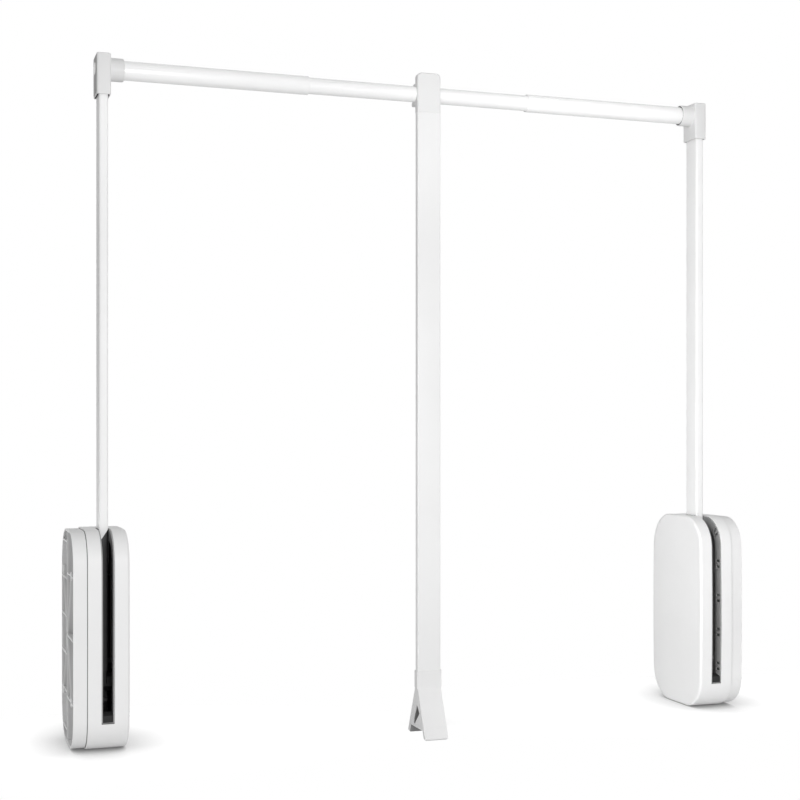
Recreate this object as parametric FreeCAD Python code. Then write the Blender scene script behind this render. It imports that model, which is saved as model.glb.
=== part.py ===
"""Pull-down closet rod: two wall housings, two swinging arms, a telescopic rail and a pull handle.

Millimetres, +Z up. X runs along the rail, Y points to the back of the wardrobe. Every piece is built
in a working frame whose X = 0 is the middle of the rail, Y = 0 the middle of the arms and Z = 0 the
underside of the housings. The left side is modelled and the right side is its mirror image. On export
all pieces are moved so that the origin is the centre of the left housing's four wall screws.
"""
import FreeCAD, Part
import math
import os

V = FreeCAD.Vector

# ---------------------------------------------------------------- driving dimensions
# Overall layout
ARM_SPACING = 875.0        # between the two arms, centre to centre
WALL_TO_ARM = 43.0         # wall plane to the arm's centre plane
PIVOT_Z = 80.0             # swing axis above the underside of the housings
RAIL_Z = 876.0             # rail axis above the underside of the housings

# Housing outline, seen along the rail
HOUSING_H = 280.0
HOUSING_FRONT = 63.0       # in front of the arm's centre plane
HOUSING_REAR = 87.0        # behind it
SIDE_BOW = 2.5             # bulge of the front and rear sides
FRONT_R = 44.0             # corner radius, front
REAR_R = 50.0              # corner radius, rear
BASE_T = 18.0              # base thickness along X
COVER_T = 52.0             # cover thickness along X
BASE_INSET = 1.8           # how far the base stands back inside the cover's outline
COVER_WALL = 2.5
COVER_EDGE_R = 4.0         # soft edge round the cover's inner face
EDGE_CUT = 0.65            # chamfer that stands for that edge, as a share of its radius
BASE_WALL = 2.4
BASE_FLOOR = 2.0

# Slot for the arm in the cover
SLOT_CLEAR = 2.2           # each side of the arm
SLOT_BOTTOM_Z = 37.5
SLOT_REAR_Y = 17.0
FLANGE_T = 1.6
FLANGE_DEPTH = 13.0
NUB_COUNT = 5              # small stops along each flange
NUB_FIRST_Z = 62.0
NUB_BELOW_TOP = 18.5
NUB_H = 5.0
NUB_L = 9.5                # from front to back
NUB_PROUD = 1.2
NUB_SETBACK = 3.0          # behind the housing's front

# Ribs and screw places of the base
RIB_T = 1.6
WALL_SCREW_Y = (-32.0, 68.0)
WALL_SCREW_END = (62.0, 58.0)      # lower ones above the underside, upper ones below the top
WALL_SCREW_R = 2.5
WALL_BOSS_R = 6.0
MID_RIB_Y = 18.0
CROSS_RIB_COUNT = 6        # rear cross ribs, evenly spaced
CROSS_RIB_END = 17.5       # outermost ones from the underside and from the top
CORNER_FLATS = 4           # flats for each curve of a hidden inner wall
RIM_FLATS = 6              # the same for the base's inner wall
SCREW_R = 1.6
SCREW_HOLE_R = 1.8
COVER_BOSS_R = 4.5
SCREW_BITE = 9.0           # length of a screw in its boss
COVER_SCREW_REAR = 20.0    # rear cover screws in front of the housing's rear
COVER_SCREW_END = 30.0     # and above its underside or below its top
COVER_SCREW_LOW = (23.0, 26.0)     # lower front screw, behind the front and above the underside
COVER_SCREW_HIGH = (18.0, 44.0)    # upper front screw beside the slot, behind the front and below the top

# Arm, a flat oval steel tube
ARM_W = 12.0
ARM_D = 30.0
ARM_WALL = 1.2
ARM_CORNER_R = 2.5
ARM_BOTTOM_Z = 97.0
ARM_IN_HEAD = 20.0         # length of arm inside the head block
TONGUE_CLEAR = 0.15
TONGUE_CORNER = 1.5
TONGUE_TOP_Z = 140.0
PIN_R = 2.5
PIN_Z = 122.0

# Pivot
AXLE_R = 5.0
RUN_CLEAR = 0.05           # radial clearance of running fits
HUB_R = 12.0
END_PLAY = 0.2
AXLE_HEAD_R = 9.0
AXLE_HEAD_T = 3.0

# Toothed sector on the arm and the rack behind it
MODULE = 2.0
TEETH_FULL_CIRCLE = 24
SECTOR_TOOTH_FIRST = -8
SECTOR_TOOTH_LAST = 1
PRESSURE_ANGLE = 20.0
BACKLASH = 0.2             # taken off each tooth's thickness
TOOTH_WIDTH = 9.2
TOOTH_FOOT_CLEAR = 0.5
RACK_BOTTOM_Z = 28.0
RACK_TOP_Z = 108.0
RACK_BACK = 7.5            # thickness behind the tooth roots
RACK_SEAT_T = 5.0
RACK_STUB_L = 18.0

# Steel bracket that carries the mechanism
CHANNEL_HALF = 12.0        # half the clear width between its side plates
BRACKET_T = 2.0
BRACKET_BOTTOM_Z = 26.0
BRACKET_BELOW_TOP = 18.0   # under the housing's top
BRACKET_STRIP_Y = 14.0     # front edge of its upper strip
BRACKET_REAR_Y = 58.0
BRACKET_NOSE = 22.0        # reach in front of, above and below the axle
BRACKET_NOSE_CUT = 12.0    # its cut corners
BRACKET_SCREW_REAR_Y = 52.0
BRACKET_SCREW_LOW_Z = 72.0
BRACKET_SCREW_DOWN = 16.0  # upper screw below the bracket's top
BRACKET_SCREW_FRONT = (-9.0, 66.0)
GUIDE_CLEAR = 0.3

# Compression spring of rectangular wire
SPRING_Y = 25.0
SPRING_OUTER_R = 8.4
SPRING_WIRE_W = 2.8
SPRING_WIRE_H = 3.6
SPRING_TURNS = 5
SPRING_STEPS = 10          # flats per turn
SPRING_TAB_DOWN = 46.0     # tab over the spring, below the bracket's top
SPRING_END_CLEAR = 0.3

# Damper behind the bracket
DAMPER_R = 9.0
DAMPER_BOTTOM_Z = 152.0
DAMPER_TOP_DOWN = 26.0     # below the bracket's top
DAMPER_ROD_R = 2.5
DAMPER_CAP = 4.0
ROD_INSERTION = 12.0
LUG_Z = 90.0
LUG_H = 8.0
LUG_W = 8.0
CLAMP_T = 1.5
CLAMP_H = 10.0
NUT_H = 4.0
CLAMP_IN = (14.0, 20.0)    # lower one above the damper's bottom, upper one below its top

# Swing range
SWING_MAX_DEG = 105.0
BUFFER_GAP = 0.4
REST_BUFFER_DOWN = 40.0    # its underside below the bracket's top
REST_BUFFER_H = 18.0
STOP_BUFFER_L = 12.0

# Head block at the top of each arm, with the rail's collar
HEAD_W = 18.5
HEAD_D = 36.0
HEAD_BELOW_RAIL = 36.0
HEAD_ABOVE_RAIL = 17.5
HEAD_EDGE = 1.8            # chamfer of its upright edges
HEAD_RIM = 1.2             # chamfer round its top
COLLAR_R = 15.0
COLLAR_L = 18.0
HEAD_BORE_DEPTH = 5.0
FIT_CLEAR = 0.1
CAP_R = 8.0
CAP_PLUG_R = 6.0
CAP_T = 2.0                # depth of its plug
CAP_PROUD = 0.5

# Telescopic rail
TUBE_R = 12.5
INNER_TUBE_R = 11.0
INNER_TUBE_WALL = 1.2
EXPOSED_HALF = 161.5       # from the middle to the free end of an outer tube
INNER_TUBE_L = 660.0

# Pull handle
HANDLE_X = 9.0
BAR_W = 34.0
BAR_T = 10.0
BAR_WALL = 1.2
BAR_CORNER_R = 1.6
BAR_FRONT_Y = -14.5
HANDLE_TOP_ABOVE = 28.0    # head above the rail axis
HANDLE_SEAM_BELOW = 27.0   # head to bar joint below the rail axis
CLIP_CLEAR = 0.08
CLIP_WALL = 3.2
CLIP_LIP = 5.0
SPIGOT_L = 26.0
SPIGOT_CLEAR = 0.15
GRIP_TOP_Z = 73.0
GRIP_SOCKET_Z = 51.0
GRIP_BOTTOM_Z = -19.0
GRIP_SPREAD = 37.0         # prong tips from the bar's centre plane
GRIP_SHELL = 1.0           # socket wall outside the bar
PRONG_T = 5.5
WEB_T = 2.4
WEB_BOTTOM_Z = -6.0
CROTCH_Z = 30.0
GRIP_BEND_R = 14.0
GRIP_CORNER_R = 5.0
GRIP_WINDOW = ((-1.5, 26.5), (-12.5, 15.5), (8.0, -3.0), (12.5, -1.5), (11.0, 6.0))

# ---------------------------------------------------------------- worked-out sizes
ARM_X = -ARM_SPACING / 2.0
WALL_X = ARM_X - WALL_TO_ARM
SEAM_X = WALL_X + BASE_T
INNER_X = SEAM_X + COVER_T
SLOT_HALF = ARM_W / 2.0 + SLOT_CLEAR
PITCH_R = MODULE * TEETH_FULL_CIRCLE / 2.0
TIP_R = PITCH_R + MODULE
ROOT_R = PITCH_R - 1.25 * MODULE
RACK_TRAVEL = PITCH_R * math.radians(SWING_MAX_DEG)
RACK_ROOT_Y = PITCH_R + MODULE + TOOTH_FOOT_CLEAR
RACK_BACK_Y = RACK_ROOT_Y + RACK_BACK
WEB_Y = RACK_BACK_Y + GUIDE_CLEAR
PLATE_X = ARM_X - CHANNEL_HALF - BRACKET_T      # wall side of the bracket's mounting plate
DAMPER_Y = WEB_Y + BRACKET_T + DAMPER_R + GUIDE_CLEAR
WALL_SCREW_Z = (WALL_SCREW_END[0], HOUSING_H - WALL_SCREW_END[1])
BRACKET_TOP_Z = HOUSING_H - BRACKET_BELOW_TOP
SPRING_TAB_Z = BRACKET_TOP_Z - SPRING_TAB_DOWN
REST_BUFFER_Z = BRACKET_TOP_Z - REST_BUFFER_DOWN
DAMPER_TOP_Z = BRACKET_TOP_Z - DAMPER_TOP_DOWN
CLAMP_Z = (DAMPER_BOTTOM_Z + CLAMP_IN[0], DAMPER_TOP_Z - CLAMP_IN[1])
BRACKET_SCREWS = ((BRACKET_SCREW_REAR_Y, BRACKET_SCREW_LOW_Z),
                  (BRACKET_SCREW_REAR_Y, BRACKET_TOP_Z - BRACKET_SCREW_DOWN), BRACKET_SCREW_FRONT)
COVER_SCREW_REAR_Y = HOUSING_REAR - COVER_SCREW_REAR
COVER_SCREW_LONG = ((COVER_SCREW_REAR_Y, HOUSING_H - COVER_SCREW_END),
                    (COVER_SCREW_REAR_Y, COVER_SCREW_END),
                    (COVER_SCREW_LOW[0] - HOUSING_FRONT, COVER_SCREW_LOW[1]))
COVER_SCREW_SHORT = (COVER_SCREW_HIGH[0] - HOUSING_FRONT, HOUSING_H - COVER_SCREW_HIGH[1])
HEAD_INNER_X = ARM_X + HEAD_W / 2.0
HEAD_OUTER_X = ARM_X - HEAD_W / 2.0
HEAD_BOTTOM_Z = RAIL_Z - HEAD_BELOW_RAIL
ARM_TOP_Z = HEAD_BOTTOM_Z + ARM_IN_HEAD
TUBE_END_X = HEAD_INNER_X - HEAD_BORE_DEPTH
TUBE_BORE_R = INNER_TUBE_R + RUN_CLEAR
BAR_MID_Y = BAR_FRONT_Y + BAR_T / 2.0
SEAM_Z = RAIL_Z - HANDLE_SEAM_BELOW
ORIGIN = V(WALL_X, sum(WALL_SCREW_Y) / 2.0, sum(WALL_SCREW_Z) / 2.0)


# ---------------------------------------------------------------- small helpers
def box(x0, x1, y0, y1, z0, z1):
    """Box between two corners."""
    return Part.makeBox(x1 - x0, y1 - y0, z1 - z0, V(x0, y0, z0))


def rod_x(radius, x0, x1, y, z):
    """Cylinder along X."""
    return Part.makeCylinder(radius, x1 - x0, V(x0, y, z), V(1, 0, 0))


def rod_z(radius, z0, z1, x, y):
    """Cylinder along Z."""
    return Part.makeCylinder(radius, z1 - z0, V(x, y, z0), V(0, 0, 1))


def polygon_x(points, x0, x1):
    """Prism along X over a closed outline of (y, z) points."""
    corners = [V(x0, y, z) for y, z in points]
    face = Part.Face(Part.makePolygon(corners + corners[:1]))
    return face.extrude(V(x1 - x0, 0, 0))


def ring_points(radius, y, z, sides):
    """Corners of a regular polygon round a point, as (y, z) pairs."""
    turns = [2.0 * math.pi * (k + 0.5) / sides for k in range(sides)]
    return [(y + radius * math.cos(turn), z + radius * math.sin(turn)) for turn in turns]


def prism_x(radius, x0, x1, y, z, sides=8):
    """Regular prism along X: small fasteners and their holes, hidden in the housing."""
    return polygon_x(ring_points(radius, y, z, sides), x0, x1)


def prism_y(radius, y0, y1, x, z, sides=8):
    """Regular prism along Y."""
    corners = [V(x + across, y0, up) for across, up in ring_points(radius, 0.0, z, sides)]
    return Part.Face(Part.makePolygon(corners + corners[:1])).extrude(V(0, y1 - y0, 0))


def prism_z(radius, z0, z1, x, y, sides=8):
    """Regular prism along Z."""
    corners = [V(x + across, y + deep, z0) for across, deep in ring_points(radius, 0.0, 0.0, sides)]
    return Part.Face(Part.makePolygon(corners + corners[:1])).extrude(V(0, 0, z1 - z0))


def fuse(shapes):
    """One solid from touching or overlapping shapes."""
    shapes = list(shapes)
    return shapes[0].multiFuse(shapes[1:]).removeSplitter()


def cut(shape, tools):
    """The shape with all tools taken away."""
    return shape.cut(list(tools)).removeSplitter()


def edges_along(shape, axis, where=lambda box: True):
    """Straight edges parallel to an axis whose bounding box passes a test."""
    found = []
    for edge in shape.Edges:
        if edge.Curve.TypeId != "Part::GeomLine":
            continue
        direction = edge.tangentAt(edge.FirstParameter)
        if abs(abs(direction.dot(axis)) - 1.0) < 1e-6 and where(edge.BoundBox):
            found.append(edge)
    return found


# ---------------------------------------------------------------- housing
def housing_block(x0, x1, inset, edge_r=0.0):
    """Rounded housing volume between two planes: bowed sides, four round corners, one soft edge."""
    front = -HOUSING_FRONT + inset
    rear = HOUSING_REAR - inset
    top = HOUSING_H - inset
    middle = HOUSING_H / 2.0
    front_low = V(x0, front + SIDE_BOW, inset)
    front_high = V(x0, front + SIDE_BOW, top)
    rear_low = V(x0, rear - SIDE_BOW, inset)
    rear_high = V(x0, rear - SIDE_BOW, top)
    outline = Part.Wire([
        Part.LineSegment(front_low, rear_low).toShape(),
        Part.Arc(rear_low, V(x0, rear, middle), rear_high).toShape(),
        Part.LineSegment(rear_high, front_high).toShape(),
        Part.Arc(front_high, V(x0, front, middle), front_low).toShape(),
    ])
    block = Part.Face(outline).extrude(V(x1 - x0, 0, 0))
    along_x = V(1, 0, 0)
    block = block.makeFillet(FRONT_R - inset, edges_along(block, along_x, lambda b: b.YMax < 0))
    block = block.makeFillet(REAR_R - inset, edges_along(block, along_x, lambda b: b.YMin > 0))
    if edge_r > 0:
        rim = [edge for edge in block.Edges if edge.BoundBox.XMin > x1 - 1e-4]
        block = block.makeChamfer(edge_r * EDGE_CUT, rim)
    return block


def housing_hollow(x0, x1, inset, flats, edge_r=0.0):
    """The same volume with flats instead of curves, for the hidden inner side of a wall.

    Its corners lie on the true outline, so that a wall is nowhere thinner than it should be.
    """
    block = housing_block(x0, x1, inset)
    corners = set()
    for edge in block.Edges:
        if edge.BoundBox.XMax < x0 + 1e-4:
            count = 2 if edge.Curve.TypeId == "Part::GeomLine" else flats + 1
            corners.update((round(place.y, 3), round(place.z, 3)) for place in edge.discretize(count))
    middle = block.BoundBox.Center
    outline = sorted(corners, key=lambda corner: math.atan2(corner[1] - middle.z, corner[0] - middle.y))
    hollow = polygon_x(outline, x0, x1)
    if edge_r > 0:
        rim = [edge for edge in hollow.Edges if edge.BoundBox.XMin > x1 - 1e-4]
        hollow = hollow.makeChamfer(edge_r * EDGE_CUT, rim)
    return hollow


def front_at(z):
    """Y of the housing's front at a height in its straight part or its upper corner."""
    above = max(0.0, z - (HOUSING_H - FRONT_R))
    return FRONT_R - HOUSING_FRONT - math.sqrt(FRONT_R ** 2 - above ** 2)


def slot_space():
    """The slot's cut: from the bottom lip up the front, over the top and back behind the arm."""
    return box(ARM_X - SLOT_HALF, ARM_X + SLOT_HALF, -HOUSING_FRONT - 5, SLOT_REAR_Y,
               SLOT_BOTTOM_Z, HOUSING_H + 5)


def slot_flanges():
    """Inner collar round the slot: a plate each side, a lip below and one behind."""
    reach = SLOT_HALF + FLANGE_T
    skin = COVER_WALL / 2.0
    ring = housing_block(ARM_X - reach, ARM_X + reach, skin)
    ring = ring.cut(housing_hollow(ARM_X - reach - 1, ARM_X + reach + 1, COVER_WALL + FLANGE_DEPTH,
                                   CORNER_FLATS))
    zone = box(ARM_X - reach, ARM_X + reach, -HOUSING_FRONT, SLOT_REAR_Y + FLANGE_T,
               SLOT_BOTTOM_Z - FLANGE_T, HOUSING_H)
    # The inner offset outline reaches below the zone's rear part, so only the front and top are kept.
    return ring.common(zone).cut(slot_space())


def flange_nubs():
    """Small stops that stand a little out of both flanges, evenly spaced up the slot."""
    pitch = (HOUSING_H - NUB_BELOW_TOP - NUB_FIRST_Z) / (NUB_COUNT - 1)
    reach = SLOT_HALF + FLANGE_T / 2.0
    nubs = []
    for k in range(NUB_COUNT):
        z = NUB_FIRST_Z + k * pitch
        y = front_at(z) + NUB_SETBACK
        for side in (-1, 1):
            x0, x1 = sorted((ARM_X + side * (SLOT_HALF - NUB_PROUD), ARM_X + side * reach))
            nubs.append(box(x0, x1, y, y + NUB_L, z - NUB_H / 2.0, z + NUB_H / 2.0))
    return nubs


def cover():
    """Moulded cover: hollow, soft-edged, slotted for the arm, with flanged slot and screw bosses."""
    shell = housing_block(SEAM_X, INNER_X, 0.0, COVER_EDGE_R)
    hollow = housing_hollow(SEAM_X - 1, INNER_X - COVER_WALL, COVER_WALL, CORNER_FLATS,
                            COVER_EDGE_R - COVER_WALL)
    body = cut(shell, [hollow, slot_space()])
    boss_end = INNER_X - COVER_WALL / 2.0
    bosses = [prism_x(COVER_BOSS_R, SEAM_X, boss_end, y, z) for y, z in COVER_SCREW_LONG]
    short_y, short_z = COVER_SCREW_SHORT
    bosses.append(prism_x(COVER_BOSS_R, SEAM_X, ARM_X - SLOT_HALF - FLANGE_T / 2.0, short_y, short_z))
    pilots = [prism_x(SCREW_R, SEAM_X - 1, SEAM_X + SCREW_BITE + 2, y, z)
              for y, z in COVER_SCREW_LONG + (COVER_SCREW_SHORT,)]
    return cut(fuse([body, slot_flanges()] + bosses + flange_nubs()), pilots)


def rib(y0, z0, y1, z1, x0, x1):
    """Straight rib of the lattice between two points of the base."""
    length = math.hypot(y1 - y0, z1 - z0)
    side_y = -(z1 - z0) / length * RIB_T / 2.0
    side_z = (y1 - y0) / length * RIB_T / 2.0
    outline = ((y0 + side_y, z0 + side_z), (y1 + side_y, z1 + side_z),
               (y1 - side_y, z1 - side_z), (y0 - side_y, z0 - side_z))
    return polygon_x(outline, x0, x1)


def base():
    """Moulded base against the wall: rim, floor, rib lattice, wall bosses and bracket pillars."""
    outer = housing_block(WALL_X, SEAM_X, BASE_INSET)
    tray = housing_hollow(WALL_X - 1, SEAM_X - BASE_FLOOR, BASE_INSET + BASE_WALL, RIM_FLATS)
    rim = outer.cut(tray)
    x1 = SEAM_X - BASE_FLOOR / 2.0
    far = HOUSING_REAR + 5
    near = -HOUSING_FRONT - 5
    front_y, rear_y = WALL_SCREW_Y
    low_z, high_z = WALL_SCREW_Z
    middle_z = (low_z + high_z) / 2.0
    ribs = [rib(MID_RIB_Y, -5, MID_RIB_Y, HOUSING_H + 5, WALL_X, x1)]
    pitch = (HOUSING_H - 2.0 * CROSS_RIB_END) / (CROSS_RIB_COUNT - 1)
    cross_places = [CROSS_RIB_END + k * pitch for k in range(CROSS_RIB_COUNT)]
    ribs += [rib(MID_RIB_Y, z, far, z, WALL_X, x1) for z in cross_places]
    ribs += [rib(near, z, MID_RIB_Y, z, WALL_X, x1) for z in (low_z, middle_z, high_z)]
    # Two diagonals join the wall bosses crosswise.
    ribs.append(rib(front_y, low_z, rear_y, high_z, WALL_X, x1))
    ribs.append(rib(front_y, high_z, rear_y, low_z, WALL_X, x1))
    lattice = fuse(ribs).common(housing_block(WALL_X, SEAM_X, BASE_INSET + BASE_WALL / 2.0))
    wall_places = [(y, z) for y in WALL_SCREW_Y for z in WALL_SCREW_Z]
    cover_places = COVER_SCREW_LONG + (COVER_SCREW_SHORT,)
    bosses = [prism_x(WALL_BOSS_R, WALL_X, x1, y, z, 12) for y, z in wall_places]
    pillars = [prism_x(COVER_BOSS_R, x1, PLATE_X, y, z) for y, z in BRACKET_SCREWS]
    body = fuse([rim, lattice] + bosses + pillars)
    holes = [rod_x(WALL_SCREW_R, WALL_X - 1, SEAM_X + 1, y, z) for y, z in wall_places]
    holes += [prism_x(SCREW_HOLE_R, WALL_X - 1, SEAM_X + 1, y, z) for y, z in cover_places]
    holes += [prism_x(SCREW_R, PLATE_X - SCREW_BITE - 1, PLATE_X + 1, y, z)
              for y, z in BRACKET_SCREWS]
    return cut(body, holes)


def screw_x(x, y, z, length, direction):
    """Hex-head screw along X with its head's seat at x; direction is the way the shank points."""
    tip = x + direction * length
    top = x - direction * SCREW_R * 1.3
    shank = prism_x(SCREW_R, min(x, tip), max(x, tip), y, z)
    head = prism_x(SCREW_R * 1.9, min(x, top), max(x, top), y, z, 6)
    return fuse([head, shank])


def cover_screws():
    """Four screws from the base's hollow side into the cover."""
    places = COVER_SCREW_LONG + (COVER_SCREW_SHORT,)
    return Part.makeCompound([
        screw_x(SEAM_X - BASE_FLOOR, y, z, BASE_FLOOR + SCREW_BITE, 1) for y, z in places])


def bracket_screws():
    """Screws that hold the bracket on the base's pillars."""
    return Part.makeCompound([
        screw_x(PLATE_X + BRACKET_T, y, z, BRACKET_T + SCREW_BITE, -1) for y, z in BRACKET_SCREWS])


# ---------------------------------------------------------------- mechanism
def bracket():
    """Bent steel channel: mounting plate, web behind the rack, second ear and a folded top tab."""
    left = ARM_X - CHANNEL_HALF
    right = ARM_X + CHANNEL_HALF
    web_back = WEB_Y + BRACKET_T

    def ear(x0, x1, rear):
        short = BRACKET_NOSE - BRACKET_NOSE_CUT
        return polygon_x((
            (rear, BRACKET_BOTTOM_Z), (rear, BRACKET_TOP_Z), (BRACKET_STRIP_Y, BRACKET_TOP_Z),
            (BRACKET_STRIP_Y, PIVOT_Z + BRACKET_NOSE), (-short, PIVOT_Z + BRACKET_NOSE),
            (-BRACKET_NOSE, PIVOT_Z + short), (-BRACKET_NOSE, PIVOT_Z - short),
            (-short, PIVOT_Z - BRACKET_NOSE), (BRACKET_STRIP_Y, PIVOT_Z - BRACKET_NOSE),
            (BRACKET_STRIP_Y, BRACKET_BOTTOM_Z)), x0, x1)

    body = fuse([
        ear(left - BRACKET_T, left, BRACKET_REAR_Y),
        ear(right, right + BRACKET_T, web_back),
        box(left - BRACKET_T, right + BRACKET_T, WEB_Y, web_back, BRACKET_BOTTOM_Z, BRACKET_TOP_Z),
        box(left, right, ARM_D / 2.0 + 1.5, web_back, SPRING_TAB_Z, SPRING_TAB_Z + BRACKET_T),
    ])
    lug_path = box(ARM_X - LUG_W / 2.0 - 1, ARM_X + LUG_W / 2.0 + 1, WEB_Y - 1, web_back + 1,
                   LUG_Z - 3, LUG_Z + LUG_H + RACK_TRAVEL + 3)
    tools = [lug_path, rod_x(AXLE_R + RUN_CLEAR, left - 5, right + 5, 0, PIVOT_Z)]
    tools += [prism_x(SCREW_HOLE_R, PLATE_X - 1, left + 1, y, z) for y, z in BRACKET_SCREWS]
    return cut(body, tools)


def pivot_axle():
    """Steel axle through both ears of the bracket, with a hex head at each end."""
    half = CHANNEL_HALF + BRACKET_T + END_PLAY
    ends = [prism_x(AXLE_HEAD_R, ARM_X + min(side * half, side * (half + AXLE_HEAD_T)),
                    ARM_X + max(side * half, side * (half + AXLE_HEAD_T)), 0, PIVOT_Z, 6)
            for side in (-1, 1)]
    return fuse([rod_x(AXLE_R, ARM_X - half - 1, ARM_X + half + 1, 0, PIVOT_Z)] + ends)


def involute_flank(steps=2):
    """Half-angle of the sector tooth at a few radii, from the base circle or root to the tip."""
    pressure = math.radians(PRESSURE_ANGLE)
    base_r = PITCH_R * math.cos(pressure)
    half_at_pitch = (math.pi * MODULE - BACKLASH * 2.0) / (4.0 * PITCH_R)
    involute_at_pitch = math.tan(pressure) - pressure
    flank = [(ROOT_R, half_at_pitch + involute_at_pitch)]
    for step in range(steps + 1):
        radius = base_r + (TIP_R - base_r) * step / steps
        local = math.acos(min(1.0, base_r / radius))
        flank.append((radius, half_at_pitch + involute_at_pitch - (math.tan(local) - local)))
    return flank


def sector_tooth(angle):
    """One involute tooth at an angle from +Y towards +Z."""
    flank = involute_flank()
    inner_r = ROOT_R - MODULE
    points = []
    for radius, half in [(inner_r, flank[0][1])] + flank:
        points.append((radius * math.cos(angle - half), PIVOT_Z + radius * math.sin(angle - half)))
    for radius, half in reversed([(inner_r, flank[0][1])] + flank):
        points.append((radius * math.cos(angle + half), PIVOT_Z + radius * math.sin(angle + half)))
    return polygon_x(points, ARM_X - TOOTH_WIDTH / 2.0, ARM_X + TOOTH_WIDTH / 2.0)


def pie_x(radius, first, last, x0, x1):
    """Slice of a disc about the pivot between two angles from +Y towards +Z."""
    def at(angle):
        return V(x0, radius * math.cos(angle), PIVOT_Z + radius * math.sin(angle))

    centre = V(x0, 0, PIVOT_Z)
    outline = Part.Wire([
        Part.LineSegment(centre, at(first)).toShape(),
        Part.Arc(at(first), at((first + last) / 2.0), at(last)).toShape(),
        Part.LineSegment(at(last), centre).toShape(),
    ])
    return Part.Face(outline).extrude(V(x1 - x0, 0, 0))


def hub_gear():
    """Arm foot: bearing boss, toothed sector behind and below it, and the tongue inside the arm."""
    tooth_angle = 2.0 * math.pi / TEETH_FULL_CIRCLE
    half_w = TOOTH_WIDTH / 2.0
    teeth = [sector_tooth(k * tooth_angle) for k in range(SECTOR_TOOTH_FIRST, SECTOR_TOOTH_LAST + 1)]
    first = (SECTOR_TOOTH_FIRST - 0.5) * tooth_angle
    last = (SECTOR_TOOTH_LAST + 0.5) * tooth_angle
    disc = pie_x(ROOT_R, first, last, ARM_X - half_w, ARM_X + half_w)
    boss_half = CHANNEL_HALF - END_PLAY
    boss = prism_x(HUB_R, ARM_X - boss_half, ARM_X + boss_half, 0, PIVOT_Z, 12)
    inner_d = ARM_D / 2.0 - ARM_WALL - TONGUE_CLEAR
    tongue = box(ARM_X - half_w, ARM_X + half_w, -inner_d, inner_d, PIVOT_Z, TONGUE_TOP_Z)
    tongue = tongue.makeChamfer(TONGUE_CORNER, edges_along(tongue, V(0, 0, 1)))
    body = fuse([disc, boss, tongue] + teeth)
    holes = [rod_x(AXLE_R + RUN_CLEAR, ARM_X - 20, ARM_X + 20, 0, PIVOT_Z)]
    holes.append(prism_x(PIN_R + FIT_CLEAR / 2.0, ARM_X - 20, ARM_X + 20, 0, PIN_Z))
    return cut(body, holes)


def flat_tube(x, width, depth, wall, corner, y_mid, z0, z1):
    """Rectangular tube along Z with rounded long edges and a square-cornered inside."""
    outer = box(x - width / 2.0, x + width / 2.0, y_mid - depth / 2.0, y_mid + depth / 2.0, z0, z1)
    outer = outer.makeFillet(corner, edges_along(outer, V(0, 0, 1)))
    inner = box(x - width / 2.0 + wall, x + width / 2.0 - wall,
                y_mid - depth / 2.0 + wall, y_mid + depth / 2.0 - wall, z0 - 1, z1 + 1)
    return outer.cut(inner)


def arm_tube():
    """The arm: a flat steel tube from the hub into the head block."""
    body = flat_tube(ARM_X, ARM_W, ARM_D, ARM_WALL, ARM_CORNER_R, 0.0, ARM_BOTTOM_Z, ARM_TOP_Z)
    return cut(body, [prism_x(PIN_R + FIT_CLEAR / 2.0, ARM_X - 20, ARM_X + 20, 0, PIN_Z)])


def arm_pin():
    """Flush cross pin through arm and tongue."""
    half = ARM_W / 2.0
    return prism_x(PIN_R, ARM_X - half, ARM_X + half, 0, PIN_Z)


def rack():
    """Toothed rack that slides up the channel, with spring seat, stub and the damper's lug."""
    guide_half = CHANNEL_HALF - GUIDE_CLEAR
    back = box(ARM_X - guide_half, ARM_X + guide_half, RACK_ROOT_Y, RACK_BACK_Y, RACK_BOTTOM_Z, RACK_TOP_Z)
    seat_front = ARM_D / 2.0 + 1.5
    seat = box(ARM_X - guide_half, ARM_X + guide_half, seat_front, RACK_BACK_Y,
               RACK_TOP_Z - RACK_SEAT_T, RACK_TOP_Z)
    stub = prism_z(SPRING_OUTER_R - SPRING_WIRE_W - 0.6, RACK_TOP_Z - 1, RACK_TOP_Z + RACK_STUB_L,
                   ARM_X, SPRING_Y)
    lug = box(ARM_X - LUG_W / 2.0, ARM_X + LUG_W / 2.0, RACK_BACK_Y - 1, DAMPER_Y + DAMPER_ROD_R + 2.5,
              LUG_Z, LUG_Z + LUG_H)
    pitch = math.pi * MODULE
    slope = math.tan(math.radians(PRESSURE_ANGLE))
    half = pitch / 4.0 - BACKLASH / 2.0
    teeth = []
    count_down = int((PIVOT_Z - RACK_BOTTOM_Z) / pitch)
    for step in range(-count_down, 2):
        z = PIVOT_Z + (step + 0.5) * pitch
        if z - pitch / 2.0 < RACK_BOTTOM_Z:
            continue
        root = half + slope * (RACK_ROOT_Y - PITCH_R)
        tip = half - slope * MODULE
        teeth.append(polygon_x(((RACK_ROOT_Y + 0.5, z - root), (RACK_ROOT_Y, z - root),
                                (PITCH_R - MODULE, z - tip), (PITCH_R - MODULE, z + tip),
                                (RACK_ROOT_Y, z + root), (RACK_ROOT_Y + 0.5, z + root)),
                               ARM_X - TOOTH_WIDTH / 2.0, ARM_X + TOOTH_WIDTH / 2.0))
    body = fuse([back, seat, stub, lug] + teeth)
    return cut(body, [rod_z(DAMPER_ROD_R + FIT_CLEAR / 2.0, LUG_Z - 1, LUG_Z + LUG_H + 1, ARM_X, DAMPER_Y)])


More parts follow.
